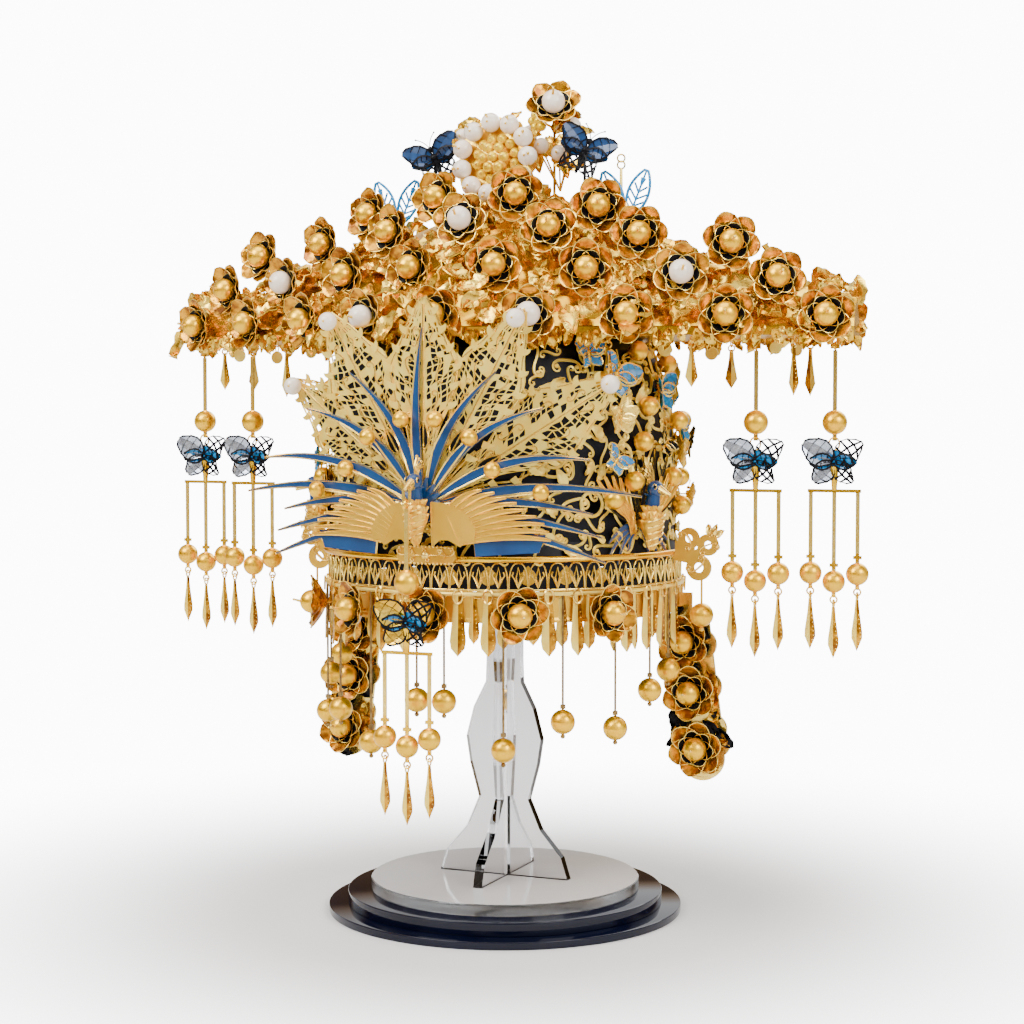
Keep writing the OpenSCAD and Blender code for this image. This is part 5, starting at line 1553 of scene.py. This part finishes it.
# small kites and round discs under the brim, hanging beside the pendants' hooks
brim = {
    "kites": [(-158, 20), (-110, 24), (-70, 20), (-38, 17), (38, 17), (74, 24), (112, 20), (158, 24)],
    "discs": [(-146, 7), (-92, 6), (62, 6), (100, 7), (150, 6)],
    "depth": 0.8,
}


def buildBrim():
    random.seed(9)
    bm = bmesh.new()
    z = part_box("roof_board")[1].z / mm - 4.6
    profile = [(0.3, 0), (0.45, 0.3), (1, 0.76), (0.03, 1)]
    loops = []
    for side in (-1, 1):
        for x, long in brim["kites"]:
            y = side * max(2, boardEdge(x) * brim["depth"])
            way = compass(random.uniform(-30, 30)) * (-side if side > 0 else 1)
            top = Vector((x, y, z - 4.4)) * mm
            place = facing(top, way)
            addKite(bm, place, profile, 6.4, long)
            loops.append(ringAt(facing(Vector((x, y, z - 1.5)) * mm, (1, 0, 0)), 1.6))
            loops.append(ringAt(facing(Vector((x, y, z - 3.8)) * mm, way), 1.6))
        for x, size in brim["discs"]:
            y = side * max(2, boardEdge(x) * brim["depth"])
            spot = Vector((x, y, z - 2.6 - size / 2))
            rod(bm, spot + Vector((0, -0.35, 0)), spot + Vector((0, 0.35, 0)), size / 2, sides=24)
            loops.append(ringAt(facing(Vector((x, y, z - 1.5)) * mm, (1, 0, 0)), 1.6))
    addWires(bm, loops, 0.4, True, look=2)
    addPiece("brimDrops", bm, ["filigree", "petal", "rim"])


# pendants: ring, flat bar, butterfly, three bars with knobs, and below them beads and kites
pendant = {
    "bead": -37,
    "crest": (-45, -71),
    "spread": 11.6,
    "barEnd": (-121, -117),  # of the middle bar, of an outer one
    "lowerBead": 6.7,  # above the bar's end
    "ring": 1.7,
    "leaf": 25,
    "profile": [(0.27, 0), (0.43, 0.24), (1, 0.72), (0.03, 1)],
}


def bar(bm, x, top, low, wide=1.5, thick=0.9, look=0):
    place = Matrix.Translation(Vector((x, 0, (top + low) / 2)) * mm) @ Matrix.Diagonal((wide * mm, thick * mm, (top - low) * mm, 1))
    made = bmesh.ops.create_cube(bm, size=1, matrix=place)
    for face in {face for v in made["verts"] for face in v.link_faces}:
        face.material_index = look


def pendantTemplate(name):
    # looks: bright gilt, gilt, black, blue
    bm = bmesh.new()
    crestTop, crestLow = pendant["crest"]
    eye = ringAt(facing((0, 0, 0), (1, 0, 0)), 1.7)
    addWires(bm, [eye], 0.6, True, look=1)
    bar(bm, 0, -2.2, crestTop - 1, 2, 1.0)
    middle = crestTop - 11
    front = facing(Vector((0, 0.6, middle)) * mm, (0, -1, 0))
    stamp(bm, crestMesh, front)
    keyhole = [ringAt(front @ Matrix.Translation(Vector((0, 8.6, 1.4)) * mm), 2.6, 1.2)]
    bar(bm, 0, middle + 5.5, middle - 2.5, 5.4, 2.2, 3)
    rod(bm, (0, 0, middle - 2.5), (0, 0, middle - 14), 2.2, 1.2, 12, 1)
    bar(bm, 0, crestLow + 1.6, crestLow, 2 * pendant["spread"] + 3, 1.1, 1)
    loops = []
    for k in (-1, 0, 1):
        x = k * pendant["spread"]
        end = pendant["barEnd"][abs(k)]
        bar(bm, x, crestLow + 0.4, end, 1.9, 0.9, 0)
        knob = end + pendant["lowerBead"] + 8
        bar(bm, x, knob + 0.8, knob - 0.8, 4, 1.4, 1)
        bar(bm, x, knob + 2, knob - 2, 1.6, 1.5, 1)
        ball(bm, (x, 0, end), 1.1, 10, 1)
        loops.append(ringAt(facing(Vector((x, 0, end - pendant["ring"] - 0.4)) * mm, (0, -1, 0)), pendant["ring"]))
    addWires(bm, loops + keyhole, 0.45, True, look=1)
    return asTemplate(bm, name)


def dropsTemplate(name):
    bm = bmesh.new()
    ball(bm, (0, 0, pendant["bead"]), 6, 24)
    loops = []
    for k in (-1, 0, 1):
        x = k * pendant["spread"]
        end = pendant["barEnd"][abs(k)]
        ball(bm, (x, 0, end + pendant["lowerBead"]), 5.5, 24)
        z = end - 1.7 - 2.3
        loops.append(ringAt(facing(Vector((x, 0, z)) * mm, (1, 0, 0)), pendant["ring"]))
        place = facing(Vector((x, -0.1, z - 1.6)) * mm, (0, -1, 0))
        addKite(bm, place, pendant["profile"], 6, pendant["leaf"], (1, 2), 3)
    addWires(bm, loops, 0.45, True, look=3)
    return asTemplate(bm, name)


def buildPendants():
    frameMesh = pendantTemplate("pendantTemplate")
    dropMesh = dropsTemplate("dropsTemplate")
    spots = {joint["name"]: Vector(joint["pos_m"]) for joint in frame["joints"]}
    for name in pendantNames:
        cells = "leaf" if name == "front" else "silver"
        for kind, mesh, looks, slot in [("pendant_", frameMesh, ["rim", "polished", "black", "sky", cells], "gilt"),
                                        ("drops_", dropMesh, ["amber", "filigree", "petal", "rim"], "amber_bead")]:
            bm = bmesh.new()
            stamp(bm, mesh, Matrix.Translation(spots["swing_" + name]))
            addPiece("fine_" + kind + name, bm, looks, "hanging_" + name, [kind + name])


def crestTemplate(name):
    # the pendants' butterfly: dark pierced wings, one pair paler than the other
    bm = bmesh.new()
    span = 30 / insect["span"]
    for side in (1, -1):
        half = bmesh.new()
        wingLobe(half, (0.5, 0.3), 0.42, (4, 2), side > 0)
        wingLobe(half, (0.4, 0.0), 0.24, (3, 2), False)
        wingLobe(half, (0.33, -0.32), 0.32, (4, 2), side > 0)
        solidSheet(half, 0.5)
        place = Matrix.Diagonal((side * span, span, span, 1)) @ Matrix.Rotation(math.radians(-14), 4, "Y")
        stamp(bm, asTemplate(half, "wing"), Matrix.Translation((0, 0, 0.6 * mm)) @ place)
    return asTemplate(bm, name)


crestMesh = crestTemplate("crestTemplate")

# temple plates: crumpled leaves all over the plates round their flowers
lappet = {"leaves": 60, "size": (7, 13)}


def buildLappets():
    random.seed(6)
    for side, name in [(-1, "left"), (1, "right")]:
        bm = bmesh.new()
        skin = surfaceOf("lappet_" + name)
        low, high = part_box("lappet_" + name)
        made = 0
        while made < lappet["leaves"]:
            x, z = random.uniform(low.x, high.x), random.uniform(low.z, high.z - 10 * mm)
            hit = skin.ray_cast(Vector((x, -0.1, z)), Vector((0, 1, 0)))
            if hit[0] is None:
                continue
            lift = random.uniform(0.2, 2.2) * mm
            place = facing(hit[0] + Vector((0, -lift, 0)), (0, -1, 0), random.uniform(0, 360))
            place = place @ Matrix.Rotation(math.radians(random.uniform(5, 30)), 4, "X")
            size = random.uniform(*lappet["size"]) / 10
            tip = place @ Vector((0, 8 * mm * size, 0))
            if skin.ray_cast(Vector((tip.x, -0.1, tip.z)), Vector((0, 1, 0)))[0] is None:
                continue
            first = len(bm.faces)
            stamp(bm, random.choice(leafMeshes), place @ Matrix.Scale(size, 4))
            look = random.choice([0, 1, 1, 2])
            bm.faces.ensure_lookup_table()
            for face in bm.faces[first:]:
                face.material_index = look
            made += 1
        addPiece("lappetLeaves_" + name, bm, ["leaf", "black", "petal"], sharp=50)


# more butterflies and beads on short wires over the cap, beside and behind the fan
sprays = {
    # degrees from the front, share of the cap's height, size, which enamel
    "butterflies": [(57, 0.36, 0.62, 1), (60, 0.52, 0.7, 2), (80, 0.42, 0.6, 0), (93, 0.48, 0.7, 1), (105, 0.22, 0.62, 2),
                    (52, 0.76, 0.7, 1), (118, 0.42, 0.66, 0), (135, 0.6, 0.8, 1), (150, 0.35, 0.7, 2), (168, 0.62, 0.8, 0)],
    "beads": [(56, 0.22), (64, 0.3), (86, 0.3), (90, 0.5), (70, 0.45), (55, 0.64), (108, 0.52), (125, 0.3), (142, 0.46),
              (160, 0.24), (175, 0.44)],
    "bead": 5,
}


def buildSprays():
    random.seed(12)
    height = capHigh.z - capLow.z
    looks = [["black", "rim", "polished"], ["sky", "rim", "polished"], ["filigree", "rim", "polished"]]
    meshes = [bmesh.new() for look in looks]
    stems = bmesh.new()
    for side in (-1, 1):
        for azimuth, up, size, kind in sprays["butterflies"]:
            z = capLow.z + up * height
            way = compass(side * azimuth, random.uniform(-8, 20))
            skin = roundThe(capRadius(z), side * azimuth, z)
            spot = skin + compass(side * azimuth) * random.uniform(4, 9)
            stamp(meshes[kind], solidButterfly, facing(spot * mm, way, random.uniform(-50, 50), size))
            rod(stems, skin, spot, 0.4)
        for azimuth, up in sprays["beads"]:
            z = capLow.z + up * height
            skin = roundThe(capRadius(z), side * azimuth, z)
            spot = skin + compass(side * azimuth, random.uniform(-20, 20)) * (sprays["bead"] + random.uniform(1, 4))
            rod(stems, skin, spot, 0.4)
            ball(stems, spot, sprays["bead"], 20, 1)
    for spot, size in solids("spray_beads"):
        skin = roundThe(capRadius(spot.z) - 0.3 * mm, azimuthOf(spot), spot.z)
        rod(stems, skin, spot / mm, 1.2)
    for mesh, look, name in zip(meshes, looks, ["Black", "Sky", "Gold"]):
        addPiece("spray" + name, mesh, look)
    addPiece("sprayBeads", stems, ["polished", "amber"])


# sprigs: pairs of pierced leaves on stalks
sprig = {"width": 0.36, "wire": 0.75, "veins": 5}


def buildSprigs():
    bm = bmesh.new()
    for spot, size in solids("leaf_sprigs"):
        low, high = (spot - size / 2) / mm, (spot + size / 2) / mm
        foot = Vector((spot.x / mm, spot.y / mm, low.z))
        rod(bm, foot, foot + Vector((0, 0, 6)), 1.3, sides=8)
        for side in (-1, 1):
            root = foot + Vector((0, 0, 4))
            tip = Vector((high.x if side > 0 else low.x, spot.y / mm, high.z))
            along = tip - root
            across = Vector((along.z, 0, -along.x)).normalized() * along.length * sprig["width"] / 2
            half = [math.sin(math.pi * (0.04 + 0.92 * k / 10)) ** 0.8 for k in range(11)]
            edge = [root + along * (0.2 + 0.08 * k) + across * half[k] for k in range(11)]
            other = [root + along * (0.2 + 0.08 * k) - across * half[k] for k in range(10, -1, -1)]
            addWires(bm, [edge + other], sprig["wire"], True)
            lines = [[root, tip]]
            for k in range(sprig["veins"]):
                start = root + along * (0.26 + 0.12 * k)
                for turned in (-1, 1):
                    lines.append([start, start + along * 0.13 + across * turned * half[min(10, 2 * k + 2)] * 0.92])
            addWires(bm, lines, sprig["wire"] * 0.75)
    addPiece("fineSprigs", bm, ["sky"], replaced=["leaf_sprigs"])


# bouquet of pearls and leaves between the medallion and the top flower, and a ringed strip beside it
bouquet = {
    "pearls": [(14, 0, 402), (21, -2, 395), (30, 0, 391), (38, 0, 397), (37, 2, 405), (-24, 0, 402)],
    "pearl": 4.2,
    "leaves": 26,
    "strip": (63, 2, 352, 382),
}


def buildBouquet():
    random.seed(17)
    bm = bmesh.new()
    foot = solids("top_flower")[0][0].x / mm
    for x, y, z in bouquet["pearls"]:
        ball(bm, (x, y, z), bouquet["pearl"], 18, 1)
        root = Vector((foot, 3, 372)) if x > 0 else Vector((-10, 0, 385))
        rod(bm, root, (x, y, z), 0.5)
        rod(bm, (x, y - bouquet["pearl"], z), (x + 0.6, y - bouquet["pearl"] - 1.6, z + 0.5), 0.5, look=2)
    for k in range(bouquet["leaves"]):
        x, y, z = random.choice(bouquet["pearls"])
        spot = Vector((x + random.uniform(-6, 6), y + 3, z + random.uniform(-8, 6))) * mm
        stamp(bm, random.choice(leafMeshes), facing(spot, (random.uniform(-0.5, 0.5), -1, 0.4), random.uniform(0, 360), 1.1))
    x, y, low, high = bouquet["strip"]
    rod(bm, (x, y, low), (x, y, high), 1.2, 0.8, 4, 2)
    rings = [[(facing(Vector((x, y, high + up)) * mm, (0.4, -1, 0)) @ (p * mm)) / mm for p in ringPath(1.9)] for up in (1.8, 5.2)]
    addWires(bm, rings, 0.5, True, look=2)
    addPiece("topBouquet", bm, ["leaf", "white", "rim"], sharp=50)


buildBouquet()
buildSprigs()
buildSideBirds()
buildScrolls()
buildMedallion()
buildFringe()
buildBrim()
buildPendants()
buildLappets()
buildSprays()
print("drops and sprays made")

# what stays as it came, in its own finish
for node, look in [("side_scrolls", "satin"), ("phoenix_mount", "satin"), ("phoenix_plaque", "satin"),
                   ("lappet_left", "rim"), ("lappet_right", "rim")]:
    nodes[node].data.materials.clear()
    nodes[node].data.materials.append(finishes[look])
